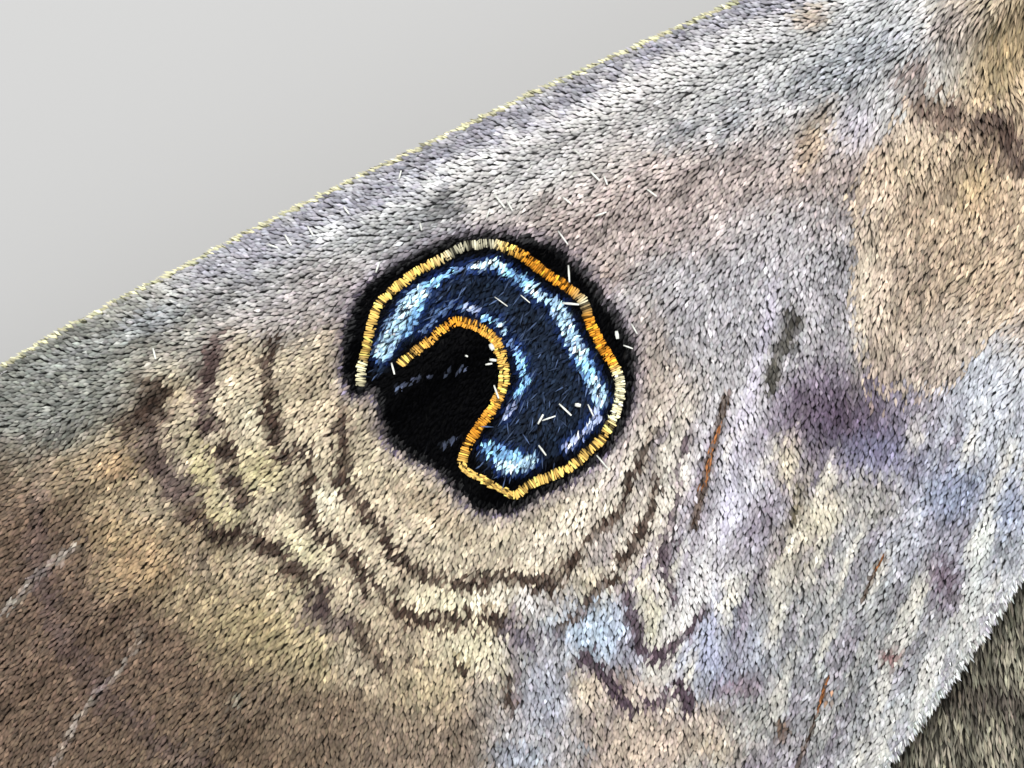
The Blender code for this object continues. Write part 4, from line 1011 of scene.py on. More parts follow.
for word, side in SIDES.items():
    rng = np.random.default_rng(41 + side)
    spots = lattice_spots(forewing["rim"], SCALE_PITCH, SCALE_ROWS, rng)
    angle = forewing_angle(spots)
    width, length = forewing_sizes(spots, to_pixels(spots), rng)
    seen = spots + pointing(angle) * (SEEN_SHARE * length)[:, None]
    lie_way = to_pixels(spots + pointing(angle)) - to_pixels(spots)
    feather = unit(lie_way) * rng.normal(0.0, FEATHER_ALONG, len(spots))[:, None]
    feather += rng.normal(0.0, FEATHER_ACROSS, spots.shape)
    plain = paint_forewing(seen, feather)
    calm = CALM * ramp(plain.mean(axis=1), CALM_FROM, CALM_FULL)
    colour = speckled(plain, spots, rng, SPECKLE)
    colour += (plain - colour) * calm[:, None]
    bare = within(to_pixels(seen), inset_loop(BLACK_LOOP, np.full(1, BARE_INSET)))
    here, lie, up = wing_lie(forewing, side, spots, angle, 1)
    count = len(spots)
    lie, up = tilted(lie, up, LIFT + rng.uniform(-LIFT_SPREAD, LIFT_SPREAD, count) * (1.0 - calm),
                     rng.normal(0.0, SWING, count), rng.normal(0.0, 0.16, count) * (1.0 - calm))
    size = sized(width, length, width)
    span = forewing["rim"][:, 0]
    slice_of = np.clip(((spots[:, 0] - span.min()) / (span.max() - span.min()) * FOREWING_PIECES).astype(int),
                       0, FOREWING_PIECES - 1)
    for share in range(FOREWING_PIECES):
        keep = (slice_of == share) & ~bare
        coat = lay_coat(f"forewing_scales_{word}_{share + 1}", cover_scale, forewing_finish, here[keep],
                        lie[keep], up[keep], size[keep], colour[keep],
                        wing_uv(spots[keep], forewing["rim"], share, FOREWING_PIECES))
        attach(coat, "root")

    rng = np.random.default_rng(51 + side)
    coarse = lattice_spots(hindwing["rim"], HIND_PITCH, HIND_ROWS, rng)
    fine = lattice_spots(hindwing["rim"], HIND_PITCH * FINER, HIND_ROWS * FINER, rng)
    coarse = coarse[hind_seen(coarse, rng) < 1.0]
    fine = fine[hind_seen(fine, rng) > 1.0]
    spots = np.vstack([coarse, fine])
    finer = np.concatenate([np.ones(len(coarse)), np.full(len(fine), FINER)])
    colour = speckled(paint_hindwing(spots, rng.normal(0.0, 5.0, spots.shape)), spots, rng, 0.22)
    here, lie, up = wing_lie(hindwing, side, spots, hindwing_angle(spots), 1)
    count = len(spots)
    lie, up = tilted(lie, up, rng.uniform(0.08, 0.24, count), rng.normal(0.0, SWING, count),
                     rng.normal(0.0, 0.14, count))
    size = sized(HIND_WIDTH * finer * rng.uniform(0.7, 1.3, count),
                 HIND_LENGTH * finer * rng.uniform(0.7, 1.3, count), HIND_SWELL * finer)
    coat = lay_coat(f"hindwing_scales_{word}", cover_scale, hindwing_finish, here, lie, up, size, colour,
                    wing_uv(spots, hindwing["rim"], 0, 1))
    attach(coat, "root")

    for kind, wing, angle, finish in (("forewing", forewing, forewing_angle, forewing_finish),
                                      ("hindwing", hindwing, hindwing_angle, hindwing_finish)):
        rng = np.random.default_rng(61 + side)
        spots = lattice_spots(wing["rim"], UNDER_PITCH, UNDER_ROWS, rng)
        count = len(spots)
        colour = speckled(paint_underside(spots, rng.normal(0.0, 8.0, spots.shape)), spots, rng, 0.18)
        here, lie, up = wing_lie(wing, side, spots, angle(spots), -1)
        lie, up = tilted(lie, up, rng.uniform(0.04, 0.14, count), rng.normal(0.0, 0.15, count),
                         rng.normal(0.0, 0.12, count))
        size = sized(UNDER_WIDTH * rng.uniform(0.8, 1.2, count),
                     UNDER_LENGTH * rng.uniform(0.8, 1.2, count), UNDER_SWELL)
        ends = spots + pointing(angle(spots)) * size[:, 1:2] / MM
        keep = within(ends, inset_loop(wing["tips"], np.full(len(wing["tips"]), UNDER_INSET)))
        coat = lay_coat(f"{kind}_underside_{word}", cover_scale, finish, here[keep], lie[keep], up[keep],
                        size[keep], colour[keep], wing_uv(spots[keep], wing["rim"], 0, 1))
        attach(coat, "root")

# Eyespot scales.
# Finer than the wing's others: velvet black ones over the whole spot, pale blue and navy ones on its
# crescent, gold ones laid across the ring, thin dark hairs between and a few stray white ones on top.
# A few worn streaks along the veins behind it are laid with them.
EYESPOT_PITCH, EYESPOT_ROWS = 0.074, 0.090
EYESPOT_LENGTH, EYESPOT_WIDTH = 0.23, 0.084
# The ring's bars, in pixels: the pitch, and each row's place across the ring and length of bars
RING_PITCH, RING_ROWS, RING_WIDTHS = 2.2, ((0.0, 10.0), (-2.3, 6.2), (2.3, 6.2)), (1.8, 2.8)
# How high hairs, ring and strays lie over the skin
HAIR_RISE, RING_RISE, STRAY_RISE = 0.03, 0.05, 0.12
HAIR_COUNT, HAIR_LENGTH, HAIR_WIDTH, HAIR_INSET = 420, 0.36, 0.036, 0.33
HAIR_TONE, STRAY_WHITE = (92, 112, 150), (226, 226, 216)
# Each stray scale: where its middle is, its turn in the picture, length and width in pixels
STRAYS = [
    (490, 347, 60, 7, 5), (492, 360, 5, 7, 3), (496, 392, 70, 14, 2.0), (394, 369, 75, 12, 2.0),
    (615, 336, 80, 8, 4), (567, 275, 86, 17, 2.0), (569, 305, 5, 17, 2.4), (564, 411, 45, 17, 2.0),
    (589, 411, 65, 13, 1.6), (540, 421, -60, 11, 2.2), (548, 420, -18, 14, 1.6), (540, 450, 52, 13, 2.0),
    (601, 462, 50, 17, 1.8), (500, 302, 35, 16, 1.2), (560, 241, 55, 17, 1.8), (465, 356, 20, 3, 2),
    (378, 268, -72, 11, 2.0), (576, 406, 10, 6, 4), (632, 330, 60, 12, 1.8), (524, 300, 40, 12, 1.2),
    (626, 348, 20, 10, 1.6), (488, 364, -10, 7, 2), (290, 242, 60, 14, 2.0), (347, 212, 55, 10, 1.8),
    (312, 233, 60, 12, 1.8), (477, 163, -5, 20, 2.0), (498, 202, 50, 17, 2.2), (508, 207, 60, 12, 1.8),
    (487, 215, -70, 10, 1.8), (592, 178, 45, 14, 2.2), (573, 153, 30, 10, 1.8), (565, 203, 40, 11, 1.8),
    (603, 183, 70, 10, 1.8), (275, 248, 20, 12, 1.8), (597, 217, -20, 12, 1.8), (420, 227, 75, 8, 1.8),
    (527, 170, -60, 9, 1.6), (400, 177, -75, 9, 1.6), (158, 353, 75, 12, 2.0), (647, 196, 35, 12, 1.8),
]


def way_angle(pixel_ways):
    # Directions in the picture to angles on the wing's plan
    base = from_photo(np.array([[0.0, 0.0]]))
    ways = from_photo(pixel_ways) - base
    return np.arctan2(ways[:, 1], ways[:, 0])


def eyespot_part(middles, ways, length, width, lift, tone, face_up=0.0):
    # Scales given by where their middles are in the picture and which way they point there
    ways = unit(np.asarray(ways, float))
    spots = from_photo(middles - ways * length[:, None] / 2)
    return (spots, way_angle(ways), length / PHOTO_SCALE, width / PHOTO_SCALE, lift,
            np.full(len(spots), face_up), tone)


def ring_parts(rng):
    knots = np.asarray(RING, float)
    route = smooth_path(RING, 2.0)
    knot_at = np.array([np.argmin(np.linalg.norm(route - knot, axis=1)) for knot in knots])
    knot_of = np.interp(np.arange(len(route)), knot_at, np.arange(len(knots)))
    run = np.concatenate([[0.0], np.cumsum(np.linalg.norm(np.diff(route, axis=0), axis=1))])
    parts = []
    for row, length in RING_ROWS:
        stops = np.arange(0.0, run[-1], RING_PITCH)
        middles = np.stack([np.interp(stops, run, route[:, k]) for k in (0, 1)], axis=1)
        ahead = np.stack([np.interp(stops + 2, run, route[:, k]) for k in (0, 1)], axis=1)
        along = unit(ahead - middles + 1e-9)
        outward = np.stack([along[:, 1], -along[:, 0]], axis=1)
        knot = np.interp(stops, run, knot_of)
        lengthwise = (knot > RING_ALONG[0]) & (knot < RING_ALONG[1])
        in_twos = np.zeros(len(stops), bool)
        for start, end in RING_TWOS:
            in_twos |= (knot > start) & (knot < end)
        in_twos |= lengthwise
        keep = in_twos if row else ~in_twos | lengthwise
        middles = middles + outward * (row + rng.normal(0.0, 0.5, (len(stops), 1)))
        ways = np.where(lengthwise[:, None], along, outward) + rng.normal(0.0, 0.14, along.shape)
        tones = np.array(RING_TONES, float)
        tone = np.stack([np.interp(knot, RING_KNOTS, tones[:, k]) for k in range(3)], axis=1)
        tone *= np.exp(rng.normal(0.0, 0.16, len(stops)))[:, None]
        tone[rng.uniform(size=len(stops)) < 0.12] *= 0.45
        reach = length * rng.uniform(0.85, 1.12, len(stops))
        broad = rng.uniform(*RING_WIDTHS, len(stops))
        parts.append(eyespot_part(middles[keep], ways[keep], reach[keep], broad[keep],
                                  rng.uniform(0.05, 0.22, keep.sum()), tone[keep], RING_RISE))
    stray = np.asarray(STRAYS, float)
    turn = np.radians(stray[:, 2])
    parts.append(eyespot_part(stray[:, :2], pointing(turn), stray[:, 3], stray[:, 4],
                              np.full(len(stray), 0.05), one_tone(STRAY_WHITE, len(stray)), STRAY_RISE))
    return parts


def eyespot_parts(rng):
    plan = from_photo(inset_loop(BLACK_LOOP, np.full(1, -2.0)))
    spots = lattice_spots(plan, EYESPOT_PITCH, EYESPOT_ROWS, rng, 0.3)
    count = len(spots)
    angle = forewing_angle(spots) + rng.normal(0.0, 0.28, count)
    length = EYESPOT_LENGTH * rng.uniform(0.8, 1.2, count)
    seen = spots + pointing(angle) * (0.6 * length)[:, None]
    tone = paint_eyespot(one_tone(HAZE, count), to_pixels(seen) + rng.normal(0, 0.9, (count, 2)))
    tone = speckled(tone, spots, rng, 0.22)
    parts = [(spots, angle, length, EYESPOT_WIDTH * rng.uniform(0.8, 1.2, count),
              rng.uniform(0.05, 0.3, count), np.full(count, 0.01), tone)]
    body = from_photo(RING_LOOP)
    low, high = body.min(axis=0), body.max(axis=0)
    hairs = rng.uniform(low, high, (HAIR_COUNT * 2, 2))
    depth, _ = path_gap(hairs, from_photo(smooth_path(RING, 8.0)))
    hairs = hairs[within(hairs, body) & (depth > HAIR_INSET)][:HAIR_COUNT]
    count = len(hairs)
    tone = np.asarray(HAIR_TONE, float) * rng.uniform(0.2, 1.0, count)[:, None] ** 1.3
    parts.append((hairs, forewing_angle(hairs) + rng.normal(0.0, 0.45, count),
                  HAIR_LENGTH * rng.uniform(0.6, 1.3, count), HAIR_WIDTH * rng.uniform(0.7, 1.3, count),
                  rng.uniform(0.1, 0.3, count), np.full(count, HAIR_RISE), tone))
    for route, half, first, last in WORN_STREAKS:
        line = smooth_path(route, 2.4)
        way = unit(np.gradient(line, axis=0))
        share = np.linspace(0.0, 1.0, len(line))
        for tone, wide, over in ((WORN_DARK, 1.2, HAIR_RISE), (WORN_BROWN, 0.8, RING_RISE)):
            keep = (share >= first) & (share <= last) if tone == WORN_BROWN else share >= 0.0
            number = keep.sum()
            middles = line[keep] + rng.normal(0.0, 0.5 * half * wide, (number, 2))
            parts.append(eyespot_part(middles, way[keep] + rng.normal(0.0, 0.10, (number, 2)),
                                      rng.uniform(7, 14, number), rng.uniform(1.3, 2.3, number),
                                      np.full(number, 0.04),
                                      np.asarray(tone, float) * rng.uniform(0.6, 1.2, (number, 1)), over))
    return parts


bar_scale = scale_shape(
    "bar_scale",
    [(-0.34, 0.0, 0.0), (0.34, 0.0, 0.0), (-0.5, 0.45, 0.0), (0.0, 0.5, 0.30), (0.5, 0.45, 0.0),
     (-0.36, 1.0, -0.02), (0.36, 1.0, -0.02)],
    [0.30, 0.30, 0.55, 1.15, 0.55, 0.80, 0.80],
    [(0, 1, 3), (0, 3, 2), (1, 4, 3), (2, 3, 5), (3, 6, 5), (3, 4, 6)])
velvet_finish = tinted_material("eyespot_scales", 0.60, shine=0.02, grain=9000.0, grain_depth=0.1,
                                shaded=True)
for word, side in SIDES.items():
    rng = np.random.default_rng(91)
    laid = {"eyespot_scales": (cover_scale, eyespot_parts(rng)), "eyespot_ring": (bar_scale, ring_parts(rng))}
    for piece, (shape, parts) in laid.items():
        spots, angle, length, width, lift, over, tone = (
            np.concatenate([part[k] for part in parts]) for k in range(7))
        here, lie, up = wing_lie(forewing, side, spots, angle, 1)
        here = here + up * over[:, None] * MM
        count = len(spots)
        lie, up = tilted(lie, up, lift, np.zeros(count), rng.normal(0.0, 0.14, count))
        size = sized(width, length, width)
        coat = lay_coat(f"{piece}_{word}", shape, velvet_finish, here, lie, up, size, tone,
                        wing_uv(spots, forewing["rim"], 0, 1))
        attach(coat, "root")

# Wing fringes.
# Long narrow scales stand out from the outer and inner margins in layers, and a row of small pale ones
# edges the costa. They are rooted in the membrane's rim and end on the wing's true outline.
FRINGE_STEP, FRINGE_WIDTH, HAIR_SWELL = 0.050, 0.068, 0.05
# The fringe's layers: how far each sets back, sinks and gains the underside's brown
FRINGE_LAYERS, LAYER_BACK, LAYER_SINK, LAYER_BROWN = 4, 0.20, 0.10, 0.22
# The inner margin's hairs: rows, pitch, step, width, length, and how far they sweep back in radians
MARGIN_ROWS, MARGIN_PITCH, MARGIN_STEP = 5, 0.09, 0.055
MARGIN_WIDTH, MARGIN_LENGTH, MARGIN_SWEEP = 0.062, 0.26, 0.75
MARGIN_FROM, MARGIN_PALE = 3.0, (200, 204, 196)
# Rows of costa scales, by how far each is turned round the rim
EDGING_TURNS, EDGING_PALE = (20, 60, 100, 140), (190, 186, 152)
# Edging of the front edges: piece, wing, lie, step, scales' width and length, colour, finish and slot
EDGINGS = [
    ("costa_edging", forewing, forewing_angle, 0.065, 0.085, 0.26, EDGING_PALE, forewing_finish,
     "forewing_scales"),
    ("hindwing_edging", hindwing, hindwing_angle, 0.14, 0.15, 0.50, HIND_BASE, hindwing_finish,
     "hindwing_scales"),
]
rim_out = forewing["rim"][:, 0]
margin_part = (rim_out > MARGIN_FROM) & (rim_out < MARGIN_END) & ~forewing["front"]


def rim_roots(wing, step, front, rng):
    # Roots along the front or the rest of a wing's rim, with the way out at each and how far the edge is
    rim, tips = wing["rim"], wing["tips"]
    here, ahead = rim, np.roll(rim, -1, axis=0)
    spots, ways = [], []
    for a, b, tip, is_front in zip(here, ahead, tips, wing["front"]):
        if is_front != front:
            continue
        count = max(1, int(np.linalg.norm(b - a) / step))
        share = (np.arange(count) + rng.uniform(0, 1, count)) / count
        spots.append(a + (b - a) * share[:, None])
        ways.append(np.tile(tip - a, (count, 1)))
    ways = np.vstack(ways)
    return np.vstack(spots), unit(ways), np.linalg.norm(ways, axis=1)


for word, side in SIDES.items():
    for kind, wing, lie_angle, paint, finish in (
            ("forewing", forewing, forewing_angle, paint_forewing, forewing_finish),
            ("hindwing", hindwing, hindwing_angle, paint_hindwing, hindwing_finish)):
        rng = np.random.default_rng(71 + side)
        parts = []
        for layer in range(FRINGE_LAYERS):
            spots, ways, reach = rim_roots(wing, FRINGE_STEP, False, rng)
            spots = spots - ways * LAYER_BACK * layer
            outward = np.arctan2(ways[:, 1], ways[:, 0])
            along = lie_angle(spots)
            turn = np.arctan2(np.sin(along - outward), np.cos(along - outward))
            angle = outward + np.clip(turn, -0.8, 0.8) * 0.6
            here, lie, up = wing_lie(wing, side, spots, angle, 1)
            here[:, 2] -= LAYER_SINK * layer * MM
            count = len(spots)
            lie, up = tilted(lie, up, rng.normal(0.0, 0.10, count), rng.normal(0.0, 0.14, count),
                             rng.normal(0.0, 0.3, count))
            browned = np.full(count, LAYER_BROWN * layer)
            colour = mix_in(paint(spots, rng.normal(0.0, 8.0, spots.shape)), UNDER_GROUND, browned)
            colour = speckled(colour, spots, rng, 0.2)
            long = (reach + LAYER_BACK * layer) * rng.uniform(0.75, 1.15, count)
            size = sized(FRINGE_WIDTH * rng.uniform(0.7, 1.3, count), long, HAIR_SWELL)
            parts.append((here, lie, up, size, colour, spots))
        here, lie, up, size, colour, spots = (np.vstack(column) for column in zip(*parts))
        fringe = lay_coat(f"{kind}_fringe_{word}", hair_scale, finish, here, lie, up, size, colour,
                          wing_uv(spots, wing["tips"], 0, 1))
        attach(fringe, "root")

    rng = np.random.default_rng(75 + side)
    margin = {**forewing, "front": ~margin_part}
    parts = []
    for row in range(MARGIN_ROWS):
        spots, ways, _ = rim_roots(margin, MARGIN_STEP, False, rng)
        spots = spots - ways * (MARGIN_PITCH * row + rng.uniform(-0.04, 0.04, len(spots)) - 0.05)[:, None]
        parts.append((spots, np.arctan2(ways[:, 1], ways[:, 0])))
    spots, outward = (np.concatenate(column) for column in zip(*parts))
    count = len(spots)
    swept = outward - MARGIN_SWEEP + 0.25 * rng.standard_normal(count)
    here, lie, up = wing_lie(forewing, side, spots, swept, 1)
    lie, up = tilted(lie, up, rng.uniform(0.02, 0.22, count), np.zeros(count), rng.normal(0.0, 0.2, count))
    paled = 0.6 * ramp(np.minimum(spots[:, 0] - 8.0, MARGIN_END - spots[:, 0]), 0.0, 7.0)
    colour = mix_in(paint_forewing(spots, rng.normal(0.0, 4.0, spots.shape)), MARGIN_PALE, paled)
    colour = speckled(colour, spots, rng, 0.24)
    size = sized(MARGIN_WIDTH * rng.uniform(0.7, 1.3, count), MARGIN_LENGTH * rng.uniform(0.6, 1.3, count),
                 HAIR_SWELL)
    band = lay_coat(f"inner_margin_hairs_{word}", cover_scale, forewing_finish, here, lie, up, size, colour,
                    wing_uv(spots, forewing["tips"], 0, 1))
    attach(band, "root")

    for piece, wing, lie_angle, step, wide, long, tone, finish, slot in EDGINGS:
        rng = np.random.default_rng(81 + side)
        parts = []
        for turn in EDGING_TURNS:
            spots, ways, _ = rim_roots(wing, step, True, rng)
            count = len(spots)
            here, lie, up = wing_lie(wing, side, spots, lie_angle(spots), 1)
            _, out, _ = wing_lie(wing, side, spots, np.arctan2(ways[:, 1], ways[:, 0]), 1)
            turn = math.radians(turn) + rng.normal(0.0, 0.12, count)[:, None]
            here = here + (up * (np.cos(turn) - 1.0) + out * (0.25 + 0.2 * np.sin(turn))) * SKIN_HALF * MM
            lie, up = tilted(lie, unit(up * np.cos(turn) + out * np.sin(turn)),
                             rng.uniform(0.02, 0.25, count), rng.normal(0.0, 0.15, count),
                             rng.normal(0.0, 0.2, count))
            parts.append((here, lie, up, spots))
        here, lie, up, spots = (np.vstack(column) for column in zip(*parts))
        count = len(spots)
        size = sized(wide * rng.uniform(0.8, 1.2, count), long * rng.uniform(0.8, 1.2, count), HAIR_SWELL)
        colour = speckled(one_tone(tone, count), spots, rng, 0.18)
        edging = lay_coat(f"{piece}_{word}", cover_scale, finish, here, lie, up, size, colour,
                          wing_uv(spots, wing["tips"], 0, 1))
        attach(edging, "root")

# Body skin.
# Soft hide in one piece under the fur: trunk, head, shoulder covers, palps and legs, closed over the cuts
# between them and drawn in by the fur's depth. It takes the place of all the nodes of flesh.
FLESH = ["thorax", "abdomen", "head"] + [f"{part}_{word}" for word in SIDES for part in (
    "tegula", "palp", "foreleg", "midleg", "hindleg")]
SKIN_CELL = 0.20
BRIDGE = 0.18
COAT_DEPTH, THIN_DEPTH = 0.28, 0.08
HEAD_BACK, PARTING, ABDOMEN_FRONT = 4.7, 5.2, -6.2
# Each leg's route on the right side: hip, knee, ankle and foot, then the radius at each point
LEG_ROUTES = {
    "foreleg": [(2.2, 3.4, 3.6), (2.5, 4.7, 2.4), (3.4, 5.9, 2.2), (5.2, 6.9, 2.9), (5.9, 8.2, 2.6),
                (6.6, 10.2, 1.3), (6.9, 11.3, 0.5), (7.3, 12.6, 0.24), (7.9, 14.6, 0.24), (8.5, 16.4, 0.24)],
    "midleg": [(2.6, -0.6, 3.2), (3.4, -0.4, 1.9), (5.2, -0.6, 2.4), (8.0, -1.1, 3.9), (9.2, -1.5, 3.7),
               (11.2, -2.7, 2.0), (12.3, -3.5, 0.75), (13.3, -4.4, 0.24), (14.7, -5.9, 0.24),
               (15.9, -7.4, 0.24)],
    "hindleg": [(2.4, -4.2, 3.0), (3.2, -4.7, 1.8), (5.0, -5.9, 2.1), (7.4, -8.0, 3.2), (8.4, -9.4, 3.0),
                (10.4, -13.0, 1.7), (11.4, -15.0, 0.75), (12.1, -16.6, 0.24), (13.2, -19.4, 0.24),
                (14.2, -22.2, 0.24)],
}
LEG_RADII = [0.80, 0.80, 0.74, 0.62, 0.60, 0.54, 0.40, 0.33, 0.33, 0.26]
ANKLE_SHARE = 0.70
PALP_ROUTE = [(0.85, 6.9, 3.9), (0.95, 8.2, 3.6), (1.05, 9.3, 4.3), (1.1, 9.8, 5.4), (1.1, 9.9, 6.3),
              (1.1, 10.0, 7.2), (1.1, 10.3, 7.9)]
FUR_GREY, FUR_BROWN, FUR_PALE, COLLAR = (148, 134, 118), (112, 94, 80), (186, 174, 154), (72, 58, 52)
BELLY, LEG_BROWN, LEG_BAND = (158, 144, 124), (116, 98, 82), (196, 182, 156)
# Each band across the thorax: its middle, half width, lowest height, strength and colour
THORAX_BANDS = [(3.6, 0.55, 5.0, 0.85, COLLAR), (2.6, 0.35, 5.0, 0.5, FUR_PALE),
                (0.2, 0.6, 7.0, 0.6, FUR_BROWN)]
RING_GAP, LEG_RINGS = 3.2, 16.0
LEG_START, PALP_START, PALP_RADIUS, LIMB_REACH = 0.12, 0.16, 0.7, 0.30


def moth_frame(points):
    return np.asarray(points) / MM - [0.0, HINGE_Y, 0.0]


def mesh_arrays(mesh):
    places, normals = np.empty(len(mesh.vertices) * 3), np.empty(len(mesh.vertices) * 3)
    mesh.vertices.foreach_get("co", places)
    mesh.vertices.foreach_get("normal", normals)
    return places.reshape(-1, 3), normals.reshape(-1, 3)


def merged_flesh(names):
    # All the named solids in one mesh, each swollen a little so that neighbours meet
    work = bmesh.new()
    for name in names:
        part = bmesh.new()
        part.from_mesh(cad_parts[name].data)
        bmesh.ops.remove_doubles(part, verts=part.verts, dist=1e-6)
        bmesh.ops.recalc_face_normals(part, faces=part.faces)
        part.normal_update()
        for vert, normal in [(v, v.normal.copy()) for v in part.verts]:
            vert.co += normal * BRIDGE * MM
        swollen = bpy.data.meshes.new(name)
        part.to_mesh(swollen)
        part.free()
        work.from_mesh(swollen)
    joined = bpy.data.meshes.new("flesh")
    work.to_mesh(joined)
    work.free()
    return joined


def neighbours_mean(values, edges, count):
    total, number = np.zeros_like(values), np.zeros(count)
    for a, b in ((0, 1), (1, 0)):
        np.add.at(total, edges[:, a], values[edges[:, b]])
        np.add.at(number, edges[:, a], 1)
    return total / number[:, None]


def body_region(points):
    # For places in the moth's frame: which leg (1 to 3) or palp (4) they are on, else 0, and the way there
    folded = points.copy()
    folded[:, 0] = np.abs(folded[:, 0])
    region, share, best = np.zeros(len(points), int), np.zeros(len(points)), np.full(len(points), np.inf)
    ways = np.zeros_like(points)
    routes = list(LEG_ROUTES.values()) + [PALP_ROUTE]
    for number, route in enumerate(routes, 1):
        line = smooth_path(route, 0.4)
        gap, along = path_gap(folded, line)
        radius, start = PALP_RADIUS, PALP_START
        if number < 4:
            radius, start = np.interp(along, np.linspace(0, 1, len(LEG_RADII)), LEG_RADII), LEG_START
        near = (gap - radius < LIMB_REACH) & (along > start) & (gap < best)
        way = np.gradient(line, axis=0)[np.clip((along * (len(line) - 1)).astype(int), 0, len(line) - 1)]
        region[near], share[near], best[near], ways[near] = number, along[near], gap[near], way[near]
    ways[:, 0] *= np.sign(points[:, 0])
    return region, share, ways


def fur_lie(points, region, ways):
    # Which way the fur lies: backwards on the trunk, down the face, forwards over the brow, along the limbs
    lie = np.tile((0.0, -1.0, 0.0), (len(points), 1))
    lie[:, 0] += 0.05 * points[:, 0]
    on_head = (points[:, 1] > HEAD_BACK) & (region == 0)
    front = ramp(points[:, 1], PARTING - 0.25, PARTING + 0.25) * on_head
    lie = lie * (1 - front)[:, None] + np.array([0.0, 0.75, 0.10]) * front[:, None]
    face = ramp(points[:, 1], 7.8, 8.5) * on_head
    lie[:, 2] -= 1.6 * face
    limb = region > 0
    lie[limb] = ways[limb]
    return lie


def paint_body(points, region, share, rng_shift):
    grain = soft_noise(points[:, 0] / 0.9 + 20, points[:, 1] / 0.9 + 20 + points[:, 2], 17)
    back, height = points[:, 1] + rng_shift, points[:, 2]
    browned = ramp(back, ABDOMEN_FRONT + 1.5, ABDOMEN_FRONT - 0.5)
    colour = mix_in(one_tone(FUR_GREY, len(points)), FUR_BROWN, browned)
    girdle = bell(np.mod(-back, RING_GAP) - 2.9, 0.35)
    colour = mix_in(colour, FUR_PALE, 0.5 * (back < ABDOMEN_FRONT) * girdle)
    for middle, half, lowest, strength, tone in THORAX_BANDS:
        colour = mix_in(colour, tone, strength * bell(back - middle, half) * (height > lowest))
    colour = mix_in(colour, FUR_BROWN, 0.7 * ramp(back, PARTING, PARTING + 1.5))
    colour = mix_in(colour, BELLY, 0.8 * ramp(height, 5.0, 3.5) * (region == 0))
    on_leg = (region > 0) & (region < 4)
    colour = mix_in(colour, LEG_BROWN, on_leg)
    ring = bell(np.mod(share * LEG_RINGS, 1.0) - 0.5, 0.22) * (share > 0.62)
    colour = mix_in(colour, LEG_BAND, 0.8 * ring * on_leg)
    colour = mix_in(colour, COLLAR, 0.7 * (1 - ring) * on_leg * ramp(share, 0.60, 0.70))
    colour = mix_in(colour, LEG_BROWN, (region == 4) * 0.8)
    colour = mix_in(colour, LEG_BAND, (region == 4) * 0.5 * bell(share - 0.62, 0.05))
    return colour * (1.0 + 0.12 * grain)[:, None]


flesh = placed("flesh", merged_flesh(FLESH))
closing = flesh.modifiers.new("close", "REMESH")
closing.mode = "VOXEL"
closing.voxel_size = SKIN_CELL * MM
graph = bpy.context.evaluated_depsgraph_get()
graph.update()
hide = bpy.data.meshes.new_from_object(flesh.evaluated_get(graph))
bpy.data.objects.remove(flesh)
hide.name = "body_skin"
places, normals = mesh_arrays(hide)
edges = np.empty(len(hide.edges) * 2, np.int64)
hide.edges.foreach_get("vertices", edges)
edges = edges.reshape(-1, 2)
for _ in range(3):
    places = 0.5 * places + 0.5 * neighbours_mean(places, edges, len(places))
hide.vertices.foreach_set("co", places.ravel())
hide.update()
places, normals = mesh_arrays(hide)
region, share, ways = body_region(moth_frame(places))
depth = BRIDGE + np.where(region > 0, THIN_DEPTH, COAT_DEPTH)
for _ in range(4):
    depth = 0.5 * depth + 0.5 * neighbours_mean(depth[:, None], edges, len(depth))[:, 0]
    normals = unit(normals + neighbours_mean(normals, edges, len(normals)))
places = places - normals * depth[:, None] * MM
hide.vertices.foreach_set("co", places.ravel())
hide.shade_smooth()
hide.update()
# The hide is painted at 0.7 of its fur's colour, as painted shade where it shows between the hairs
tint_attribute(hide, paint_body(moth_frame(places), region, share, 0.0) * 0.7)
hide_finish = tinted_material("hide", 0.65, grain=3500.0, grain_depth=0.25, bump=0.00006)
hide.materials.clear()
hide.materials.append(hide_finish)
body_skin = placed("body_skin", hide)
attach(body_skin, "root")
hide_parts(*FLESH)

# Body fur.
# Thin pointed hair-scales over the skin, longest on the thorax, short on head and palps and shortest on
# the feet. They lie backwards, so that tips overlap like thatch, and stand up a little on the collar.
# Each kind: region's name, tufts per square millimetre, length, width, lift from and to, all in mm
FUR_KINDS = {
    "thorax": (90, 1.45, 0.078, 0.10, 0.32), "abdomen": (56, 1.15, 0.10, 0.08, 0.24),
    "head": (190, 0.66, 0.052, 0.14, 0.46), "palps": (170, 0.40, 0.062, 0.10, 0.32),
    "legs": (60, 0.44, 0.080, 0.08, 0.30), "feet": (80, 0.24, 0.066, 0.05, 0.22),
}


def scatter(mesh, density, rng):
    # Random places on a mesh, so many to the square millimetre on each triangle, with their normals
    mesh.calc_loop_triangles()
    corners = np.empty(len(mesh.loop_triangles) * 3, np.int64)
    mesh.loop_triangles.foreach_get("vertices", corners)
    corners = corners.reshape(-1, 3)
    spots, slopes = mesh_arrays(mesh)
    a, b, c = (spots[corners[:, k]] for k in range(3))
    area = 0.5 * np.linalg.norm(np.cross(b - a, c - a), axis=1) / MM ** 2
    wanted = area * density[corners].mean(axis=1)
    number = np.floor(wanted + rng.uniform(0, 1, len(wanted))).astype(int)
    chosen = np.repeat(np.arange(len(corners)), number)
    u, v = rng.uniform(0, 1, (2, len(chosen)))
    over = u + v > 1
    u[over], v[over] = 1 - u[over], 1 - v[over]
    weights = np.stack([1 - u - v, u, v], axis=1)
    near = corners[chosen]
    place = sum(spots[near[:, k]] * weights[:, k:k + 1] for k in range(3))
    normal = unit(sum(slopes[near[:, k]] * weights[:, k:k + 1] for k in range(3)))
    return place, normal


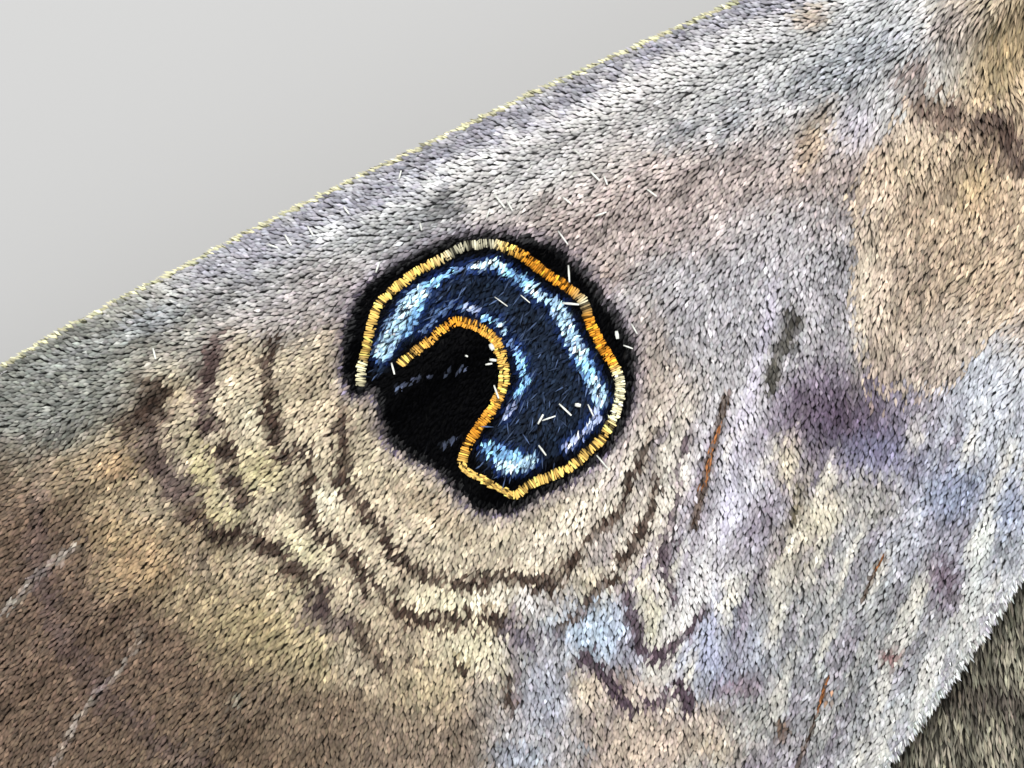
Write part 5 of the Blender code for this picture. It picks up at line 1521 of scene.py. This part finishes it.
def fur_kind(points, region, share):
    kind = np.where(points[:, 1] < ABDOMEN_FRONT, "abdomen", "thorax")
    kind = np.where(points[:, 1] > HEAD_BACK, "head", kind)
    kind = np.where(region == 4, "palps", kind)
    on_leg = (region > 0) & (region < 4)
    return np.where(on_leg, np.where(share > ANKLE_SHARE, "feet", "legs"), kind)


def fur_uv(points, region, share):
    # Unwrapped round the trunk, with a strip of its own for each leg and palp on each side
    round_trunk = np.arctan2(points[:, 0], points[:, 2] - 5.4) / (2 * math.pi) + 0.5
    along_trunk = np.clip((points[:, 1] + 29.0) / 39.0, 0.0, 1.0)
    trunk = UV_EDGE + np.stack([0.6 * round_trunk, UV_SPAN * along_trunk], axis=1)
    strip = 2 * region + (points[:, 0] > 0)
    turn = np.arctan2(points[:, 2] - 2.0, np.abs(points[:, 0]) - 4.0) / (2 * math.pi) + 0.5
    limb = np.stack([0.64 + 0.034 * (strip - 2) + 0.028 * turn, UV_EDGE + UV_SPAN * share], axis=1)
    return np.where((region > 0)[:, None], limb, trunk)


skin_points = moth_frame(places)
skin_kind = fur_kind(skin_points, region, share)
density = np.array([FUR_KINDS[kind][0] for kind in skin_kind], float)
rng = np.random.default_rng(7)
roots, slopes = scatter(hide, density, rng)
points = moth_frame(roots)
region, share, ways = body_region(points)
kind = fur_kind(points, region, share)
lie = fur_lie(points, region, ways) + rng.normal(0.0, 0.10, points.shape)
lie = unit(lie - slopes * (lie * slopes).sum(axis=1)[:, None])
measures = np.array([FUR_KINDS[name][1:] for name in kind])
count = len(points)
length = measures[:, 0] * rng.uniform(0.7, 1.25, count)
width = measures[:, 1] * rng.uniform(0.7, 1.3, count)
lift = measures[:, 2] + (measures[:, 3] - measures[:, 2]) * rng.uniform(0, 1, count)
brow = bell(points[:, 1] - PARTING, 0.5) * (kind == "head")
lift = lift + 0.55 * brow + 0.25 * bell(points[:, 1] - 3.9, 0.5) * (kind == "thorax")
length = length * (1.0 + 0.5 * brow)
lie, up = tilted(lie, slopes, lift, rng.normal(0.0, 0.10, count), rng.normal(0.0, 0.3, count))
tint = paint_body(points, region, share, rng.normal(0.0, 0.25, count))
tint = tint * np.exp(rng.normal(0.0, 0.22, count))[:, None] * 1.12
size = sized(width, length, width)
root_uv = fur_uv(points, region, share)
fur_finish = tinted_material("body_fur", 0.55, grain=9000.0, grain_depth=0.12, shaded=True)
leg_finish = tinted_material("leg_scales", 0.5, grain=9000.0, grain_depth=0.12, shaded=True)
for name, kinds, slot in (("thorax_fur", ["thorax"], "body_scales"),
                          ("abdomen_fur", ["abdomen"], "body_scales"),
                          ("head_fur", ["head", "palps"], "body_scales"),
                          ("leg_scales", ["legs", "feet"], "leg_scales")):
    keep = np.isin(kind, kinds)
    fur = lay_coat(name, hair_scale, leg_finish if slot == "leg_scales" else fur_finish, roots[keep],
                   lie[keep], up[keep], size[keep], tint[keep], root_uv[keep])
    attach(fur, "root")

# Eyes.
# Large dark brown domes sunk in the head's fur, with rows of six-sided facets as relief: three waves that
# cross at sixty degrees, drawn on a map spread from the middle of each dome's outer side.
EYE_TONE, EYE_RIM_TONE = (0.020, 0.012, 0.008, 1.0), (0.055, 0.034, 0.022, 1.0)
FACET = 0.055
FACET_DEPTH = 0.006
EYE_SWELL, EYE_SINK = 1.05, 0.12
eye_finish, eye_tree, eye_shader = new_material("faceted_eye")
link = eye_tree.links.new
eye_shader.inputs["Roughness"].default_value = 0.24
eye_shader.inputs["Coat Weight"].default_value = 0.5
facet_map = shader_node(eye_tree, "UVMap", uv_map="facets")
height = None
for turn in (0.0, math.pi / 3, 2 * math.pi / 3):
    across = (math.cos(turn), math.sin(turn), 0.0)
    wave = shader_node(eye_tree, "VectorMath", {1: across}, operation="DOT_PRODUCT")
    crest = shader_node(eye_tree, "Math", operation="COSINE")
    link(facet_map.outputs["UV"], wave.inputs[0])
    link(wave.outputs["Value"], crest.inputs[0])
    if height is None:
        height = crest
    else:
        both = shader_node(eye_tree, "Math", operation="ADD")
        link(height.outputs["Value"], both.inputs[0])
        link(crest.outputs["Value"], both.inputs[1])
        height = both
eye_relief = shader_node(eye_tree, "Bump", {"Distance": FACET_DEPTH * MM})
eye_tone = shader_node(eye_tree, "Mix", {"A": EYE_RIM_TONE, "B": EYE_TONE}, data_type="RGBA")
facet_share = shader_node(eye_tree, "MapRange", {"From Min": -1.5, "From Max": 1.0})
link(height.outputs["Value"], facet_share.inputs["Value"])
link(facet_share.outputs["Result"], eye_tone.inputs["Factor"])
link(eye_tone.outputs["Result"], eye_shader.inputs["Base Color"])
link(height.outputs["Value"], eye_relief.inputs["Height"])
link(eye_relief.outputs["Normal"], eye_shader.inputs["Normal"])
for word, side in SIDES.items():
    low, high = (np.array(corner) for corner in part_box(f"eye_{word}"))
    middle, half = (low + high) / 2 - [side * EYE_SINK * MM, 0.0, 0.0], (high - low) / 2 * EYE_SWELL
    dome = bmesh.new()
    bmesh.ops.create_uvsphere(dome, u_segments=56, v_segments=36, radius=1.0)
    facet_layer = dome.loops.layers.uv.new("facets")
    for face in dome.faces:
        for loop in face.loops:
            spot = loop.vert.co
            reach = math.sqrt(2.0 / max(1e-3, 1.0 + side * spot.x)) * half[0] / MM * 2 * math.pi / FACET
            loop[facet_layer].uv = (spot.y * reach, spot.z * reach)
    for vert in dome.verts:
        vert.co = Vector(middle + np.array(vert.co) * half)
    dome_mesh = bpy.data.meshes.new(f"eye_dome_{word}")
    dome.to_mesh(dome_mesh)
    dome.free()
    dome_mesh.shade_smooth()
    dome_mesh.materials.append(eye_finish)
    eye = placed(f"eye_dome_{word}", dome_mesh)
    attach(eye, "root")
    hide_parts(f"eye_{word}")

# Feelers.
# Threadlike feelers of some sixty short joints, pale scales along the top and bare brown horn below.
FEELER_ROUTE = [(1.05, 7.0, 7.4), (1.55, 8.1, 8.6), (2.6, 9.6, 9.3), (5.2, 12.2, 9.8), (8.8, 14.9, 9.6),
                (12.8, 17.1, 8.7), (16.2, 18.5, 7.3), (18.8, 19.3, 5.7)]
FEELER_RADII = [0.40, 0.36, 0.30, 0.28, 0.26, 0.24, 0.20, 0.10]
JOINT_LENGTH, JOINT_PINCH, FEELER_SIDES, FEELER_SCALES = 0.42, 0.16, 10, 2400
HORN_BROWN, FEELER_PALE = (96, 74, 56), (176, 160, 134)


def tube_mesh(route, radii, sides, step, pinch, hint=(0.0, 0.0, 1.0)):
    # Round rod along a route, pinched in at each joint, closed at both ends
    line = smooth_path(route, step)
    run = np.concatenate([[0.0], np.cumsum(np.linalg.norm(np.diff(line, axis=0), axis=1))])
    joints = int(run[-1] / step)
    stops = np.sort(np.concatenate([np.linspace(0, run[-1], joints + 1),
                                    (np.arange(joints) + 0.25) * run[-1] / joints,
                                    (np.arange(joints) + 0.75) * run[-1] / joints]))
    centre = np.stack([np.interp(stops, run, line[:, k]) for k in range(3)], axis=1)
    knots = np.linspace(0, 1, len(radii))
    radius = np.interp(stops / run[-1], knots, radii)
    radius[::3] *= 1.0 - pinch
    way = unit(np.gradient(centre, axis=0))
    side = unit(np.cross(way, hint))
    top = np.cross(side, way)
    turn = np.arange(sides) * 2 * math.pi / sides
    ring = side[:, None] * np.cos(turn)[:, None] + top[:, None] * np.sin(turn)[:, None]
    points = (centre[:, None] + ring * radius[:, None, None]).reshape(-1, 3)
    faces = []
    for i in range(len(stops) - 1):
        for k in range(sides):
            after = (k + 1) % sides
            faces.append((i * sides + k, i * sides + after, (i + 1) * sides + after, (i + 1) * sides + k))
    faces.append(tuple(range(sides))[::-1])
    faces.append(tuple((len(stops) - 1) * sides + k for k in range(sides)))
    return points, faces, centre, way, top, radius


def horn_piece(name, points, faces, tone):
    # A smooth piece of horn from places in the moth's own frame
    mesh = bpy.data.meshes.new(name)
    mesh.from_pydata(((points + [0.0, HINGE_Y, 0.0]) * MM).tolist(), [], faces)
    turn_faces_out(mesh)
    tint_attribute(mesh, one_tone(tone, len(points)))
    mesh.materials.append(horn_finish)
    return placed(name, mesh)


horn_finish = tinted_material("horn", 0.35, shine=0.4, grain=6000.0, grain_depth=0.2, bump=0.00001)
for word, side in SIDES.items():
    route = [(side * x, y, z) for x, y, z in FEELER_ROUTE]
    points, faces, centre, way, top, radius = tube_mesh(route, FEELER_RADII, FEELER_SIDES, JOINT_LENGTH,
                                                            JOINT_PINCH)
    feeler = horn_piece(f"feeler_{word}", points, faces, HORN_BROWN)
    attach(feeler, "root")
    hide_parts(f"antenna_{word}")
    rng = np.random.default_rng(23)
    chosen = rng.integers(0, len(centre) - 2, FEELER_SCALES)
    across = np.cross(way[chosen], top[chosen])
    turn = rng.normal(0.0, 0.95, len(chosen))
    outward = top[chosen] * np.cos(turn)[:, None] + across * np.sin(turn)[:, None]
    roots = centre[chosen] + outward * radius[chosen][:, None] * 0.95
    lie, up = tilted(way[chosen], outward, rng.uniform(0.05, 0.25, len(chosen)),
                     rng.normal(0, 0.12, len(chosen)), rng.normal(0, 0.2, len(chosen)))
    size = sized(rng.uniform(0.07, 0.11, len(chosen)), rng.uniform(0.24, 0.36, len(chosen)), 0.06)
    tint = one_tone(FEELER_PALE, len(chosen))
    tint *= np.exp(rng.normal(0, 0.2, len(chosen)))[:, None]
    feeler_uv = np.stack([0.5 + 0.3 * turn / math.pi, UV_EDGE + UV_SPAN * chosen / len(centre)], axis=1)
    scales = lay_coat(f"feeler_scales_{word}", hair_scale, fur_finish,
                      (roots + [0.0, HINGE_Y, 0.0]) * MM, lie, up, size, tint, feeler_uv)
    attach(scales, "root")

# Claws and tongue.
# A pair of small dark hooks at each foot's end, and the flat coil of the ringed tongue under the face.
# Each claw's bend: how far ahead of the toe, to its side and up
CLAW_BEND = [(0.0, 0.10, 0.0), (0.26, 0.20, 0.08), (0.44, 0.25, 0.0), (0.55, 0.27, -0.14)]
CLAW_RADII = [0.07, 0.063, 0.042, 0.012]
CLAW_BLACK, TONGUE_BROWN = (46, 34, 28), (118, 84, 58)
TONGUE_MIDDLE, TONGUE_ROOT = (9.25, 3.15), (0.0, 7.5, 4.7)
TONGUE_RADIUS, TONGUE_START, TONGUE_END, TONGUE_COILS = 0.24, 1.20, 0.36, 1.05
claw_points, claw_faces = [], []
for word, side in SIDES.items():
    for route in LEG_ROUTES.values():
        toe = np.array(route[-1]) * [side, 1.0, 1.0]
        ahead = unit(np.array([[side * (route[-1][0] - route[-2][0]), route[-1][1] - route[-2][1], 0.0]]))[0]
        beside = np.array([-ahead[1], ahead[0], 0.0])
        for splay in (-1, 1):
            bend = [toe + ahead * out + beside * splay * aside + [0, 0, rise]
                    for out, aside, rise in CLAW_BEND]
            points, faces, *_ = tube_mesh(bend, CLAW_RADII, 6, 0.12, 0.0)
            base = sum(len(p) for p in claw_points)
            claw_points.append(points)
            claw_faces += [tuple(base + k for k in face) for face in faces]
claws = horn_piece("claws", np.vstack(claw_points), claw_faces, CLAW_BLACK)
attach(claws, "root")
tongue_turns = np.linspace(0.0, 1.0, 22)
tongue_angle = math.pi * 0.55 - math.tau * TONGUE_COILS * tongue_turns
tongue_reach = TONGUE_START + (TONGUE_END - TONGUE_START) * tongue_turns
tongue_route = [TONGUE_ROOT]
for turn, reach in zip(tongue_angle, tongue_reach):
    tongue_route.append((0.0, TONGUE_MIDDLE[0] + reach * math.cos(turn),
                         TONGUE_MIDDLE[1] + reach * math.sin(turn)))
tongue_radii = [TONGUE_RADIUS, TONGUE_RADIUS, TONGUE_RADIUS * 0.55]
points, faces, *_ = tube_mesh(tongue_route, tongue_radii, 14, 0.16, 0.05, (1.0, 0.0, 0.0))
tongue = horn_piece("tongue_coil", points, faces, TONGUE_BROWN)
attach(tongue, "root")
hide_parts("proboscis")

# Floor and light.
# A plain pale floor under the feet, one broad lamp from ahead of the wing and a pale sky all round.
FLOOR_HALF, FLOOR_CORNERS = 2.0, ((-1, -1), (1, -1), (1, 1), (-1, 1))
FLOOR_TONE, SKY_TONE, SKY_STRENGTH = (0.39, 0.386, 0.378, 1.0), (0.93, 0.96, 1.0, 1.0), 0.55
LAMP_POWER, LAMP_SIZE, LAMP_AHEAD, LAMP_ABOVE = 0.75, 0.10, 0.15, 0.16
floor_mesh = bpy.data.meshes.new("floor")
floor_mesh.from_pydata([(x * FLOOR_HALF, y * FLOOR_HALF, 0) for x, y in FLOOR_CORNERS], [], [(0, 1, 2, 3)])
floor = placed("floor", floor_mesh)
floor_finish, _, floor_shader = new_material("pale_floor")
floor_shader.inputs["Base Color"].default_value = FLOOR_TONE
floor_shader.inputs["Roughness"].default_value = 0.8
floor_mesh.materials.append(floor_finish)

sky = bpy.data.worlds.new("sky")
sky.use_nodes = True
sky.node_tree.nodes["Background"].inputs["Color"].default_value = SKY_TONE
sky.node_tree.nodes["Background"].inputs["Strength"].default_value = SKY_STRENGTH
bpy.context.scene.world = sky
key = placed("key_lamp", bpy.data.lights.new("key_lamp", "AREA"))
key.data.energy = LAMP_POWER
key.data.size = LAMP_SIZE
key.location = Vector(view_point) + LAMP_AHEAD * view_up + LAMP_ABOVE * view_back
key.rotation_euler = (Vector(view_point) - key.location).to_track_quat("-Z", "Y").to_euler()
bpy.context.scene.view_settings.view_transform = "Standard"

for shape in (cover_scale, hair_scale, bar_scale):
    bpy.data.objects.remove(shape)
